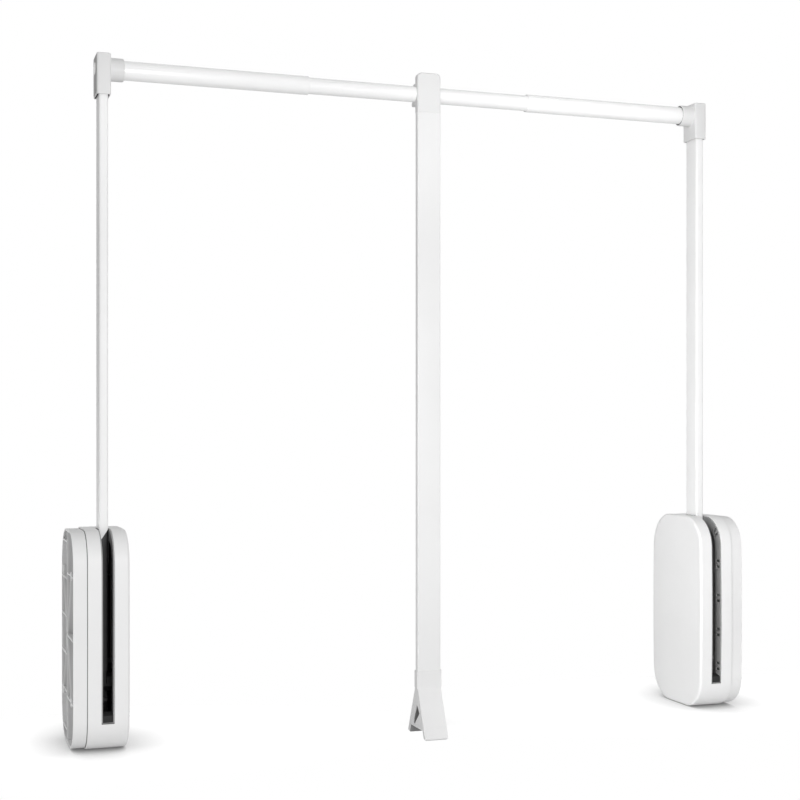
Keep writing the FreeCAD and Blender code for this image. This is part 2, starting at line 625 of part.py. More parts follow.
def lift_spring():
    """Compression spring of rectangular wire: wire sections along a helix, joined by flat triangles."""
    low = RACK_TOP_Z + SPRING_END_CLEAR + SPRING_WIRE_H / 2.0
    high = SPRING_TAB_Z - SPRING_END_CLEAR - SPRING_WIRE_H / 2.0
    count = SPRING_TURNS * SPRING_STEPS
    sections = []
    for step in range(count + 1):
        turn = 2.0 * math.pi * step / SPRING_STEPS
        z = low + (high - low) * step / count
        section = []
        for radius, lift in ((SPRING_OUTER_R, -0.5), (SPRING_OUTER_R, 0.5),
                             (SPRING_OUTER_R - SPRING_WIRE_W, 0.5), (SPRING_OUTER_R - SPRING_WIRE_W, -0.5)):
            section.append(V(ARM_X + radius * math.cos(turn), SPRING_Y + radius * math.sin(turn),
                             z + lift * SPRING_WIRE_H))
        sections.append(section)
    faces = [Part.Face(Part.makePolygon(end + end[:1])) for end in (sections[0], sections[-1])]
    for here, there in zip(sections, sections[1:]):
        for k in range(4):
            a, b = here[k], here[(k + 1) % 4]
            c, d = there[(k + 1) % 4], there[k]
            faces.append(Part.Face(Part.makePolygon([a, b, c, a])))
            faces.append(Part.Face(Part.makePolygon([a, c, d, a])))
    coil = Part.Solid(Part.Shell(faces))
    if coil.Volume < 0:
        coil.reverse()
    return coil


def damper_cylinder():
    """Oil damper body, twelve-sided, with the rod's bore from below."""
    over_corners = DAMPER_R / math.cos(math.pi / 12.0)
    body = prism_z(over_corners, DAMPER_BOTTOM_Z, DAMPER_TOP_Z, ARM_X, DAMPER_Y, 12)
    bore = rod_z(DAMPER_ROD_R + RUN_CLEAR, DAMPER_BOTTOM_Z - 1, DAMPER_TOP_Z - DAMPER_CAP, ARM_X, DAMPER_Y)
    return body.cut(bore)


def damper_rod():
    """Damper rod, held on the rack's lug by a hex nut below it."""
    rod = rod_z(DAMPER_ROD_R, LUG_Z - NUT_H, DAMPER_BOTTOM_Z + ROD_INSERTION, ARM_X, DAMPER_Y)
    nut = prism_z(DAMPER_ROD_R * 1.8, LUG_Z - NUT_H, LUG_Z, ARM_X, DAMPER_Y, 6)
    return fuse([rod, nut])


def damper_clamps():
    """Two bent steel straps that hold the damper on the bracket's web."""
    web_back = WEB_Y + BRACKET_T
    half = DAMPER_R + RUN_CLEAR
    straps = []
    for z in CLAMP_Z:
        outer = box(ARM_X - half - CLAMP_T, ARM_X + half + CLAMP_T, web_back,
                    DAMPER_Y + half + CLAMP_T, z, z + CLAMP_H)
        inner = box(ARM_X - half, ARM_X + half, web_back - 1, DAMPER_Y + half, z - 1, z + CLAMP_H + 1)
        straps.append(outer.cut(inner))
    return Part.makeCompound(straps)


def rest_buffer():
    """Rubber block in the channel that the upright arm leans against."""
    half = CHANNEL_HALF - FIT_CLEAR
    return box(ARM_X - half, ARM_X + half, ARM_D / 2.0 + BUFFER_GAP, WEB_Y,
               REST_BUFFER_Z, REST_BUFFER_Z + REST_BUFFER_H)


def stop_buffer():
    """Rubber wedge on the slot's bottom lip; the lowered arm comes down on its slanted top."""
    tilt = math.radians(SWING_MAX_DEG - 90.0)
    front = -HOUSING_FRONT + COVER_WALL + 0.3
    rear = front + STOP_BUFFER_L

    def arm_underside(y):
        return PIVOT_Z + y * math.tan(tilt) - ARM_D / 2.0 / math.cos(tilt) - BUFFER_GAP

    half = SLOT_HALF - 0.2
    outline = ((front, SLOT_BOTTOM_Z), (rear, SLOT_BOTTOM_Z), (rear, arm_underside(rear)),
               (front, arm_underside(front)))
    return polygon_x(outline, ARM_X - half, ARM_X + half)


# ---------------------------------------------------------------- head block and rail
def head_block():
    """Cast head: pocket for the arm below, collar and bore for the rail, recess for the cap."""
    top = RAIL_Z + HEAD_ABOVE_RAIL
    body = box(HEAD_OUTER_X, HEAD_INNER_X, -HEAD_D / 2.0, HEAD_D / 2.0, HEAD_BOTTOM_Z, top)
    body = body.makeChamfer(HEAD_EDGE, edges_along(body, V(0, 0, 1)))
    body = body.makeChamfer(HEAD_RIM, [edge for edge in body.Edges if edge.BoundBox.ZMin > top - 1e-4])
    collar = rod_x(COLLAR_R, HEAD_INNER_X - 1, HEAD_INNER_X + COLLAR_L, 0, RAIL_Z)
    pocket = box(ARM_X - ARM_W / 2.0 - FIT_CLEAR, ARM_X + ARM_W / 2.0 + FIT_CLEAR,
                 -ARM_D / 2.0 - FIT_CLEAR, ARM_D / 2.0 + FIT_CLEAR, HEAD_BOTTOM_Z - 1, ARM_TOP_Z + FIT_CLEAR)
    return cut(fuse([body, collar]), [
        pocket,
        rod_x(TUBE_R + FIT_CLEAR / 2.0, TUBE_END_X, HEAD_INNER_X + COLLAR_L + 1, 0, RAIL_Z),
        prism_x(CAP_PLUG_R + FIT_CLEAR, HEAD_OUTER_X - 1, HEAD_OUTER_X + CAP_T, 0, RAIL_Z),
    ])


def head_cap():
    """Round cap on the head's outer face, with an eight-sided plug behind it."""
    return fuse([prism_x(CAP_R, HEAD_OUTER_X - CAP_PROUD, HEAD_OUTER_X, 0, RAIL_Z, 24),
                 prism_x(CAP_PLUG_R, HEAD_OUTER_X - CAP_PROUD / 2.0, HEAD_OUTER_X + CAP_T, 0, RAIL_Z)])


def outer_tube():
    """Outer rail tube from the head block to its free end."""
    end = -EXPOSED_HALF
    return rod_x(TUBE_R, TUBE_END_X, end, 0, RAIL_Z).cut(
        rod_x(TUBE_BORE_R, TUBE_END_X - 1, end + 1, 0, RAIL_Z))


def inner_tube():
    """Inner rail tube, sliding in both outer tubes."""
    half = INNER_TUBE_L / 2.0
    return rod_x(INNER_TUBE_R, -half, half, 0, RAIL_Z).cut(
        rod_x(INNER_TUBE_R - INNER_TUBE_WALL, -half - 1, half + 1, 0, RAIL_Z))


# ---------------------------------------------------------------- pull handle
def bar_spigot(z0, z1):
    """Plug that fits inside the handle's bar."""
    half_w = BAR_W / 2.0 - BAR_WALL - SPIGOT_CLEAR
    half_t = BAR_T / 2.0 - BAR_WALL - SPIGOT_CLEAR
    return box(HANDLE_X - half_w, HANDLE_X + half_w, BAR_MID_Y - half_t, BAR_MID_Y + half_t, z0, z1)


def handle_head():
    """Handle head: flush front shield, open clip behind it that snaps on the rail, spigot below."""
    half_w = BAR_W / 2.0
    top = RAIL_Z + HANDLE_TOP_ABOVE
    x0 = HANDLE_X - half_w
    x1 = HANDLE_X + half_w
    shield = box(x0, x1, BAR_FRONT_Y, BAR_FRONT_Y + BAR_T, SEAM_Z, top)
    shield = shield.makeFillet(6.5, edges_along(shield, V(0, 1, 0), lambda b: b.ZMin > top - 1))
    front_rim = [edge for edge in shield.Edges
                 if edge.BoundBox.YMax < BAR_FRONT_Y + 1e-4 and edge.BoundBox.ZMax > SEAM_Z + 1.0]
    shield = shield.makeChamfer(HEAD_RIM, front_rim)
    inner_r = INNER_TUBE_R + CLIP_CLEAR
    outer_r = inner_r + CLIP_WALL
    ring = rod_x(outer_r, x0, x1, 0, RAIL_Z)
    lip_z = RAIL_Z - inner_r + 1.2
    lip = box(x0, x1, BAR_MID_Y, inner_r - 0.6, lip_z - CLIP_LIP - 1.2, lip_z)
    lip_edges = edges_along(lip, V(1, 0, 0), lambda b: b.YMin > inner_r - 0.7)
    lip = lip.makeFillet(2.6, lip_edges)
    # The clip's mouth opens backwards and a little downwards, so the lower jaw reaches further.
    mouth = polygon_x(((5.2, RAIL_Z + 30), (5.2, RAIL_Z + 2), (40, RAIL_Z + 2), (40, RAIL_Z + 30)), x0, x1)
    mouth_low = box(x0, x1, 7.0, 40, RAIL_Z - inner_r + 1.2, RAIL_Z + 3)
    hollow = rod_x(inner_r, x0 - 1, x1 + 1, 0, RAIL_Z)
    body = cut(fuse([shield, ring.cut(mouth).cut(mouth_low), lip]), [hollow])
    body = fuse([body, bar_spigot(SEAM_Z - SPIGOT_L, SEAM_Z + 1)])
    hole = prism_y(SCREW_R, BAR_MID_Y - BAR_T, BAR_FRONT_Y + BAR_T + 1, HANDLE_X,
                   SEAM_Z - SPIGOT_L / 2.0)
    keep = box(x0, x1, BAR_FRONT_Y + 2.5, BAR_FRONT_Y + BAR_T + 1, SEAM_Z - SPIGOT_L, SEAM_Z)
    return cut(body, [hole.common(keep)])


def handle_bar():
    """Flat tube of the handle."""
    body = flat_tube(HANDLE_X, BAR_W, BAR_T, BAR_WALL, BAR_CORNER_R, BAR_MID_Y,
                     GRIP_SOCKET_Z + FIT_CLEAR, SEAM_Z)
    rear = BAR_FRONT_Y + BAR_T
    holes = [prism_y(SCREW_HOLE_R, rear - BAR_WALL - 1, rear + 1, HANDLE_X, z)
             for z in handle_screw_places()]
    return cut(body, holes)


def handle_screw_places():
    """Heights of the two screws on the bar's rear face."""
    return (SEAM_Z - SPIGOT_L / 2.0, GRIP_TOP_Z + SPIGOT_L / 2.0 - 3.0)


def handle_screws():
    """Two screws through the bar's rear face into the head's and the grip's spigots."""
    screws = []
    rear = BAR_FRONT_Y + BAR_T
    for z in handle_screw_places():
        shank = prism_y(SCREW_R, rear - 6.0, rear, HANDLE_X, z)
        head = prism_y(SCREW_R * 1.9, rear, rear + SCREW_R * 1.2, HANDLE_X, z, 6)
        screws.append(fuse([shank, head]))
    return Part.makeCompound(screws)


def handle_grip():
    """Grip: socket on the bar, two prongs spread like a roof, hollow between two windowed webs."""
    half_w = BAR_W / 2.0
    x0 = HANDLE_X - half_w
    x1 = HANDLE_X + half_w
    half_t = BAR_T / 2.0 + GRIP_SHELL
    shoulder_z = GRIP_SOCKET_Z - 3.0
    lean = math.atan2(GRIP_SPREAD - half_t, shoulder_z - GRIP_BOTTOM_Z)
    thick = PRONG_T / math.cos(lean)
    tip_z = GRIP_BOTTOM_Z + PRONG_T * math.sin(lean)

    def outside(z):
        return half_t + (shoulder_z - z) * math.tan(lean)

    def both_sides(half_outline):
        right = [(BAR_MID_Y + y, z) for y, z in half_outline]
        left = [(BAR_MID_Y - y, z) for y, z in reversed(half_outline)]
        return right + left

    body = polygon_x(both_sides([
        (half_t, GRIP_TOP_Z), (half_t, shoulder_z), (outside(tip_z), tip_z),
        (outside(GRIP_BOTTOM_Z) - thick, GRIP_BOTTOM_Z),
        (outside(WEB_BOTTOM_Z) - thick, WEB_BOTTOM_Z)]), x0, x1)
    tips = edges_along(body, V(1, 0, 0), lambda b: b.ZMax < tip_z + 0.5)
    body = body.makeFillet(PRONG_T * 0.33, tips)
    bend = edges_along(body, V(1, 0, 0), lambda b: abs(b.ZMin - shoulder_z) < 0.5)
    body = body.makeFillet(GRIP_BEND_R, bend)
    # Seen from the front the prongs end in round corners.
    front_view = box(x0, x1, BAR_MID_Y - GRIP_SPREAD - 5, BAR_MID_Y + GRIP_SPREAD + 5,
                     GRIP_BOTTOM_Z, GRIP_TOP_Z)
    front_view = front_view.makeFillet(GRIP_CORNER_R, edges_along(
        front_view, V(0, 1, 0), lambda b: b.ZMax < GRIP_BOTTOM_Z + 1))
    body = body.common(front_view)
    low = GRIP_BOTTOM_Z - 5
    cavity = polygon_x(both_sides([(3.0, CROTCH_Z), (outside(low) - thick, low)]),
                       x0 + WEB_T, x1 - WEB_T)
    window = polygon_x([(BAR_MID_Y + y, z) for y, z in GRIP_WINDOW], x0 - 1, x1 + 1)
    window = window.makeFillet(1.2, edges_along(window, V(1, 0, 0)))
    bar_room = box(x0 - FIT_CLEAR, x1 + FIT_CLEAR, BAR_FRONT_Y - FIT_CLEAR,
                   BAR_FRONT_Y + BAR_T + FIT_CLEAR, GRIP_SOCKET_Z, GRIP_TOP_Z + 1)
    collar = box(x0 - GRIP_SHELL, x1 + GRIP_SHELL, BAR_MID_Y - half_t, BAR_MID_Y + half_t,
                 GRIP_SOCKET_Z - 2.0, GRIP_TOP_Z)
    collar = collar.makeFillet(0.8, edges_along(collar, V(0, 0, 1)))
    body = cut(fuse([body, collar]), [cavity, window, bar_room])
    inner = bar_spigot(GRIP_SOCKET_Z - 1.0, GRIP_TOP_Z + SPIGOT_L)
    hole = prism_y(SCREW_R, BAR_FRONT_Y + 3.0, BAR_FRONT_Y + BAR_T, HANDLE_X,
                   handle_screw_places()[1])
    return cut(fuse([body, inner]), [hole])


# ---------------------------------------------------------------- export
SIDE_PARTS = {
    "base": base,
    "cover": cover,
    "cover_screws": cover_screws,
    "bracket": bracket,
    "bracket_screws": bracket_screws,
    "pivot_axle": pivot_axle,
    "hub_gear": hub_gear,
    "arm_tube": arm_tube,
    "arm_pin": arm_pin,
    "rack": rack,
    "lift_spring": lift_spring,
    "damper_cylinder": damper_cylinder,
    "damper_rod": damper_rod,
    "damper_clamps": damper_clamps,
    "rest_buffer": rest_buffer,
    "stop_buffer": stop_buffer,
    "head_block": head_block,
    "head_cap": head_cap,
    "outer_tube": outer_tube,
}
MIDDLE_PARTS = {
    "inner_tube": inner_tube,
    "handle_head": handle_head,
    "handle_bar": handle_bar,
    "handle_grip": handle_grip,
    "handle_screws": handle_screws,
}


def save(name, shape):
    """Move a piece into the part's frame and write it as one STEP file."""
    placed = shape.copy()
    placed.translate(-ORIGIN)
    assert placed.isValid(), name
    placed.exportStep(f"parts/{name}.step")
    print(f"{name}: {len(placed.Solids)} solids, {placed.Volume / 1000.0:.2f} cm3")


def main():
    """Build every piece, mirror the side pieces for the right hand, and export."""
    os.makedirs("parts", exist_ok=True)
    for name, build in SIDE_PARTS.items():
        left = build()
        save(f"left_{name}", left)
        save(f"right_{name}", left.mirror(V(0, 0, 0), V(1, 0, 0)))
    for name, build in MIDDLE_PARTS.items():
        save(name, build())


main()
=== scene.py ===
"""Looks of a pull-down closet rod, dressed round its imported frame.

A wardrobe lift: two moulded wall housings, a powder-coated arm rising from each, a telescopic enamelled
rail between the arms and a flat pull handle hanging from the rail. Lengths are millimetres in the part's
own frame (+X along the rail, +Y to the back of the wardrobe, +Z up) until a mesh is written, where they
become metres. What stands at both walls is shaped at the left one and mirrored for the right one.
"""
import logging
import math
from dataclasses import dataclass, field, replace
from enum import Enum
from typing import Callable, Iterable, Sequence

import bmesh
import bpy
import numpy as np
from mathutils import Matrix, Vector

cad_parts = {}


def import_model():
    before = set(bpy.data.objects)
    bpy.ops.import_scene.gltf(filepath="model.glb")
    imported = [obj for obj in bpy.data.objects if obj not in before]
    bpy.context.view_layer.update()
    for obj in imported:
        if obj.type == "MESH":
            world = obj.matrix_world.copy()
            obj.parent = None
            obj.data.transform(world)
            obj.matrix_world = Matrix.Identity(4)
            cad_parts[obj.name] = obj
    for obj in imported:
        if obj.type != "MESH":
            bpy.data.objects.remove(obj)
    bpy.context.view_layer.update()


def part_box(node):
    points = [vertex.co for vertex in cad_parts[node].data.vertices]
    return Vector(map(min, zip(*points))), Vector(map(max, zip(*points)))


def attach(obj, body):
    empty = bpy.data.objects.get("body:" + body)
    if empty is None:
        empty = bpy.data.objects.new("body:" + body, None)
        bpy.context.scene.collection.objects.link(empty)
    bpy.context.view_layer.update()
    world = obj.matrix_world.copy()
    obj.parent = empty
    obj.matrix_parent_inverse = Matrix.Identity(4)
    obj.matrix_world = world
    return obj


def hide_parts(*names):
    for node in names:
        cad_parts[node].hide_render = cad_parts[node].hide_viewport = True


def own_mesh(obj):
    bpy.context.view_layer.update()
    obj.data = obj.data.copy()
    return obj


MM = 0.001
LOG = logging.getLogger("closet_rod")
SAME_MM = 1e-6  # lengths that differ by less are taken as the same
LEAST_RADIUS = 0.02  # a round corner doesn't shrink below this, so that its points stay apart
ROUND_MIDDLE = 0.3  # share of a rounding's radius by which its middle stands in from the sharp corner
FEW_STEPS = 2  # straight runs over a rounding that is too small to show more
RAIL_TURNS = 128  # straight runs round the rail's tubes


# ------------------------------------------------------------------ surfaces
class Axis(Enum):
    """Direction in which an outline is carried."""

    X = 0
    Y = 1
    Z = 2


class Side(Enum):
    """Which wall a piece belongs to."""

    LEFT = "left"
    RIGHT = "right"


@dataclass
class Surface:
    """Points (n, 3) in millimetres and the faces between them.

    Attributes:
        points: Corner positions.
        faces: Corner numbers of each face, in order round it.
    """

    points: np.ndarray
    faces: list

    def joined(self, *others: "Surface") -> "Surface":
        """Set surfaces side by side.

        Args:
            others: Surfaces that follow this one.

        Returns:
            One surface that holds them all.
        """
        points, faces = [self.points], list(self.faces)
        count = len(self.points)
        for other in others:
            faces += [tuple(k + count for k in face) for face in other.faces]
            points.append(other.points)
            count += len(other.points)
        return Surface(np.concatenate(points), faces)

    def mirrored(self, middle_x: float) -> "Surface":
        """Mirror the surface across an upright plane and turn its faces, so that they stay outward.

        Args:
            middle_x: Place of the plane, x = middle_x.

        Returns:
            The mirror image.
        """
        points = self.points.copy()
        points[:, 0] = 2.0 * middle_x - points[:, 0]
        return Surface(points, [tuple(reversed(face)) for face in self.faces])


def grid(points: np.ndarray, close_rows: bool = False, close_cols: bool = False,
         keep: np.ndarray | None = None) -> Surface:
    """Quads over an array of points: corner (i, j) joins (i, j+1), (i+1, j+1) and (i+1, j).

    Args:
        points: Array (rows, columns, 3).
        close_rows: Join the last row to the first.
        close_cols: Join the last column to the first.
        keep: Optional truth value per cell; a cell that is False stays open.

    Returns:
        The surface, its corners in reading order.
    """
    rows, cols = points.shape[:2]
    i = np.arange(rows if close_rows else rows - 1)[:, None]
    j = np.arange(cols if close_cols else cols - 1)[None, :]
    i2, j2 = (i + 1) % rows, (j + 1) % cols
    quads = np.stack([i * cols + j, i * cols + j2, i2 * cols + j2, i2 * cols + j], axis=-1)
    if keep is not None:
        quads = quads[keep]
    return Surface(points.reshape(-1, 3), [tuple(q) for q in quads.reshape(-1, 4).tolist()])


def loft(sections: np.ndarray) -> Surface:
    """Join closed outlines in order, with a flat face on each end.

    Args:
        sections: Array (rows, corners, 3) with one closed outline per row.

    Returns:
        A closed surface.
    """
    skin = grid(sections, close_cols=True)
    rows, cols = sections.shape[:2]
    skin.faces.append(tuple(reversed(range(cols))))
    skin.faces.append(tuple(range((rows - 1) * cols, rows * cols)))
    return skin


def sleeve(sections: Sequence[np.ndarray]) -> Surface:
    """Closed outlines joined in order and the last one to the first: the whole skin of a hollow piece."""
    return grid(np.stack(sections), close_rows=True, close_cols=True)


def carried(outline: np.ndarray, height: float, axis: Axis) -> np.ndarray:
    """Flat outline (n, 2) set at a height on an axis; its columns are the other two axes in order."""
    return np.insert(outline, axis.value, height, axis=1)


def rim_path(low: float, high: float, rim_low: float, rim_high: float, steps: int = 5) -> np.ndarray:
    """Rows (inset, height) of a prism's side: a quarter circle at each rim, straight between them.

    The low rim follows inset = r (1 - sin t), height = low + r (1 - cos t) for t from 0 to 90 degrees,
    and the high rim is the same upside down.

    Args:
        low: Height of the lower end.
        high: Height of the upper end.
        rim_low: Radius of the lower rim.
        rim_high: Radius of the upper rim.
        steps: Straight runs per rim.

    Returns:
        Array (rows, 2) from the lower end to the upper one.
    """
    t = np.linspace(0.0, math.pi / 2.0, steps + 1)
    bottom = np.stack([rim_low * (1 - np.sin(t)), low + rim_low * (1 - np.cos(t))], axis=1)
    top = np.stack([rim_high * (1 - np.sin(t)), high - rim_high * (1 - np.cos(t))], axis=1)[::-1]
    return np.concatenate([bottom, top])


def prism(outline: Callable[[float], np.ndarray], path: np.ndarray, axis: Axis) -> Surface:
    """Solid whose section is outline(inset) at each row (inset, height) of a path along an axis."""
    return loft(np.stack([carried(outline(inset), height, axis) for inset, height in path]))


def rounded_rectangle(centre: tuple, width: float, depth: float, radius: float,
                      steps: int = 6) -> Callable[[float], np.ndarray]:
    """Outline maker for a rectangle with round corners.

    Each corner is a quarter circle about its own centre; an inset shrinks sides and radius together.

    Args:
        centre: Middle of the rectangle.
        width: Size along the first axis.
        depth: Size along the second axis.
        radius: Corner radius.
        steps: Straight runs per corner.

    Returns:
        A function from inset to an outline (n, 2) in counter-clockwise order.
    """
    turns = np.linspace(0.0, math.pi / 2.0, steps + 1)[None, :] + np.arange(4)[:, None] * math.pi / 2.0
    signs = np.array([[1, 1], [-1, 1], [-1, -1], [1, -1]], float)[:, None, :]
    middle = signs * (np.array([width, depth]) / 2.0 - radius)
    spokes = np.stack([np.cos(turns), np.sin(turns)], axis=-1)

    def at(inset: float) -> np.ndarray:
        """Outline at an inset; past the radius the corners go on shrinking as points."""
        left = max(radius - inset, LEAST_RADIUS)
        return (np.array(centre) + middle - signs * max(0.0, inset - radius) + spokes * left).reshape(-1, 2)

    return at


def lathe(profile: Sequence[tuple], centre: tuple, turns: int = 96, closed: bool = True) -> Surface:
    """Surface of revolution round a line along X.

    Each (x, r) of the profile becomes the points (x, y0 + r cos a, z0 + r sin a) over one turn of a.

    Args:
        profile: Pairs (x, radius), a closed ring of them for a hollow piece.
        centre: Place (y0, z0) of the line.
        turns: Straight runs per turn.
        closed: Join the profile's end to its start; otherwise its ends are capped flat.

    Returns:
        A closed surface.
    """
    rows = np.array(profile, float)
    angle = np.linspace(0.0, 2.0 * math.pi, turns, endpoint=False)
    ring = np.stack([np.cos(angle), np.sin(angle)], axis=-1)
    flat = np.array(centre) + rows[:, 1][:, None, None] * ring[None]
    x = np.broadcast_to(rows[:, 0][:, None, None], flat.shape[:2] + (1,))
    points = np.concatenate([x, flat], axis=2)
    return sleeve(points) if closed else loft(points)


# ------------------------------------------------------------------ finishes
MATH = "ShaderNodeMath"
MIX_A, MIX_B, MIX_RESULT = 6, 7, 2  # a Mix node's colour sockets, whose names its other sockets share
NOISE_LOW, NOISE_HIGH = 0.3, 0.7  # nearly all values of the noise texture lie between these
BUMP_STRENGTH = 0.6
COAT_ROUGHNESS = 0.08


def linear(code: str) -> tuple:
    """Turn an sRGB hex colour to linear light.

    A channel c becomes c / 12.92 up to 0.04045 and ((c + 0.055) / 1.055) ^ 2.4 above it.

    Args:
        code: Colour as "#RRGGBB".

    Returns:
        Red, green, blue and alpha from 0 to 1.
    """
    channels = np.array([int(code[k:k + 2], 16) for k in (1, 3, 5)]) / 255.0
    value = np.where(channels <= 0.04045, channels / 12.92, ((channels + 0.055) / 1.055) ** 2.4)
    return (*value.tolist(), 1.0)


def add_node(tree: bpy.types.NodeTree, kind: str, values: dict | None = None) -> bpy.types.Node:
    """Add one node, set its values and link its inputs.

    Args:
        tree: Node tree that gets the node.
        kind: Blender's type name of the node.
        values: Property name, input name or input number to a value, to the socket that feeds the input,
            or to a node whose first output feeds it.

    Returns:
        The new node.
    """
    node = tree.nodes.new(kind)
    for key, value in (values or {}).items():
        if isinstance(value, bpy.types.Node):
            value = value.outputs[0]
        if isinstance(value, bpy.types.NodeSocket):
            tree.links.new(value, node.inputs[key])
        elif isinstance(key, int) or key in node.inputs:
            node.inputs[key].default_value = value
        else:
            setattr(node, key, value)
    return node


def distance_from(tree: bpy.types.NodeTree, value: bpy.types.NodeSocket, middle: float) -> bpy.types.Node:
    """Add the nodes that work out |value - middle|; the one returned carries the result."""
    offset = add_node(tree, MATH, {"operation": "SUBTRACT", 0: value, 1: middle})
    return add_node(tree, MATH, {"operation": "ABSOLUTE", 0: offset})


@dataclass(frozen=True)
class Finish:
    """A surface as its maker gives it: colour, gloss, the grain in it and the unevenness over it, with
    painted shade in hollows where asked.

    Attributes:
        name: What the material is and how it was made.
        colour: sRGB colour of the raised parts.
        shade: sRGB colour that the mottling drifts to.
        roughness: Middle roughness.
        spread: How far the roughness strays.
        metallic: 1 for bare metal, else 0.
        grain_mm: Size of the fine texture.
        grain_height_mm: Its height.
        drift_mm: Size of the slow unevenness of colour.
        stretch: How many times longer the grain is along Z, for drawn or brushed metal.
        coat: Clear gloss over the colour, as on enamel.
        ior: Index of refraction of a plastic or lacquer.
        inner: sRGB colour painted as shade on a hollow's inside, where painted_shade_mask is 1.
        painted_shade_mask: Maker of the node that gives 1 where that shade is painted, from the tree and
            the place in metres.
    """

    name: str
    colour: str
    shade: str
    roughness: float
    spread: float = 0.08
    metallic: float = 0.0
    grain_mm: float = 1.2
    grain_height_mm: float = 0.02
    drift_mm: float = 90.0
    stretch: float = 1.0
    coat: float = 0.0
    ior: float = 1.5
    inner: str = ""
    painted_shade_mask: Callable | None = None

    def material(self) -> bpy.types.Material:
        """Make the material on first use and share it after that.

        A slow noise takes the colour to the shade, and a fine one sways the roughness by the spread and
        stands up as bump.

        Returns:
            The material.
        """
        found = bpy.data.materials.get(self.name)
        if found is not None:
            return found
        made = bpy.data.materials.new(self.name)
        made.use_nodes = True
        tree = made.node_tree
        tree.nodes.clear()
        place = add_node(tree, "ShaderNodeTexCoord").outputs["Object"]
        grain_place = add_node(tree, "ShaderNodeMapping",
                               {"Scale": (1.0, 1.0, 1.0 / self.stretch), "Vector": place})
        grain = add_node(tree, "ShaderNodeTexNoise",
                         {"Scale": 1.0 / (self.grain_mm * MM), "Detail": 2.0, "Roughness": 0.5,
                          "Vector": grain_place}).outputs["Fac"]
        drift = add_node(tree, "ShaderNodeTexNoise",
                         {"Scale": 1.0 / (self.drift_mm * MM), "Detail": 3.0, "Roughness": 0.55,
                          "Vector": place}).outputs["Fac"]
        tone = add_node(tree, "ShaderNodeMapRange",
                        {"From Min": NOISE_LOW, "From Max": NOISE_HIGH, "To Min": 0.0, "To Max": 1.0,
                         "Value": drift})
        tint = add_node(tree, "ShaderNodeMix",
                        {"data_type": "RGBA", "Factor": tone, MIX_A: linear(self.colour),
                         MIX_B: linear(self.shade)}).outputs[MIX_RESULT]
        # Painted shade: a hollow's inside takes the darker inner colour.
        if self.painted_shade_mask is not None:
            tint = add_node(tree, "ShaderNodeMix",
                            {"data_type": "RGBA", "Factor": self.painted_shade_mask(tree, place), MIX_A: tint,
                             MIX_B: linear(self.inner)}).outputs[MIX_RESULT]
        gloss = add_node(tree, "ShaderNodeMapRange",
                         {"From Min": NOISE_LOW, "From Max": NOISE_HIGH,
                          "To Min": self.roughness - self.spread / 2,
                          "To Max": self.roughness + self.spread / 2, "Value": grain})
        bump = add_node(tree, "ShaderNodeBump",
                        {"Strength": BUMP_STRENGTH, "Distance": self.grain_height_mm * MM, "Height": grain})
        shader = add_node(tree, "ShaderNodeBsdfPrincipled",
                          {"Metallic": self.metallic, "IOR": self.ior, "Coat Weight": self.coat,
                           "Coat Roughness": COAT_ROUGHNESS, "Base Color": tint, "Roughness": gloss,
                           "Normal": bump})
        add_node(tree, "ShaderNodeOutputMaterial", {"Surface": shader})
        return made


# Moulded ABS takes the fine spark-eroded texture of its mould: soft sheen, no sharp reflections.
COVER_ABS = Finish("moulded_abs_cover", "#F4F4F4", "#F1F1F1", 0.5)
BASE_ABS = Finish("moulded_abs_base", "#F2F2F2", "#EDEDED", 0.55)
# The slot's collar is painted grey as the shade inside the slot, so the white cover ends in a crisp edge
# round it.
SLOT_COLLAR_SHADE_ABS = Finish("abs_slot_collar_painted_shade", "#A2A2A2", "#9A9A9A", 0.55)
HANDLE_ABS = Finish("moulded_abs_handle", "#E9E9E9", "#E5E5E5", 0.45)
GRIP_ABS = Finish("moulded_abs_grip", "#ECECEC", "#E8E8E8", 0.45)
HEAD_ABS = Finish("moulded_abs_head", "#E6E6E6", "#E1E1E1", 0.55)
# The head's outer end plate is painted grey as shade on the side that the lamps leave dim.
HEAD_END_SHADE_ABS = Finish("abs_head_end_painted_shade", "#AAAAAA", "#A4A4A4", 0.6)
# A polished insert: smoother than the matt block round it, so it shines where it is seen edge-on.
CAP_ABS = Finish("polished_abs_cap", "#FAFAFA", "#F6F6F6", 0.14, 0.04, grain_height_mm=0.004)
# Powder coat melts into a faint orange peel of 2 to 3 mm, just enough to ruffle a highlight.
POWDER_COAT = Finish("white_powder_coat", "#F8F8F8", "#F4F4F4", 0.45, grain_mm=2.6, grain_height_mm=0.05)
BAR_COAT = Finish("white_bar_powder_coat", "#F2F2F2", "#EFEFEF", 0.42, grain_mm=2.6, grain_height_mm=0.05)
# Stoved enamel on drawn tube: smooth and glossy, with a clear skin over the white.
RAIL_ENAMEL = Finish("stoved_rail_enamel", "#FDFDFD", "#FAFAFA", 0.24, 0.04, grain_mm=6.0,
                     grain_height_mm=0.03, coat=0.4)
# Zinc-plated screws and ground axles: bright steel with fine turning marks.
ZINC_STEEL = Finish("zinc_plated_steel", "#B9BCC0", "#9DA0A4", 0.3, 0.12, 1.0, 0.4, 0.01, 6.0)
GROUND_STEEL = Finish("ground_axle_steel", "#A9ABAE", "#8E9194", 0.26, 0.1, 1.0, 0.3, 0.01, 5.0)
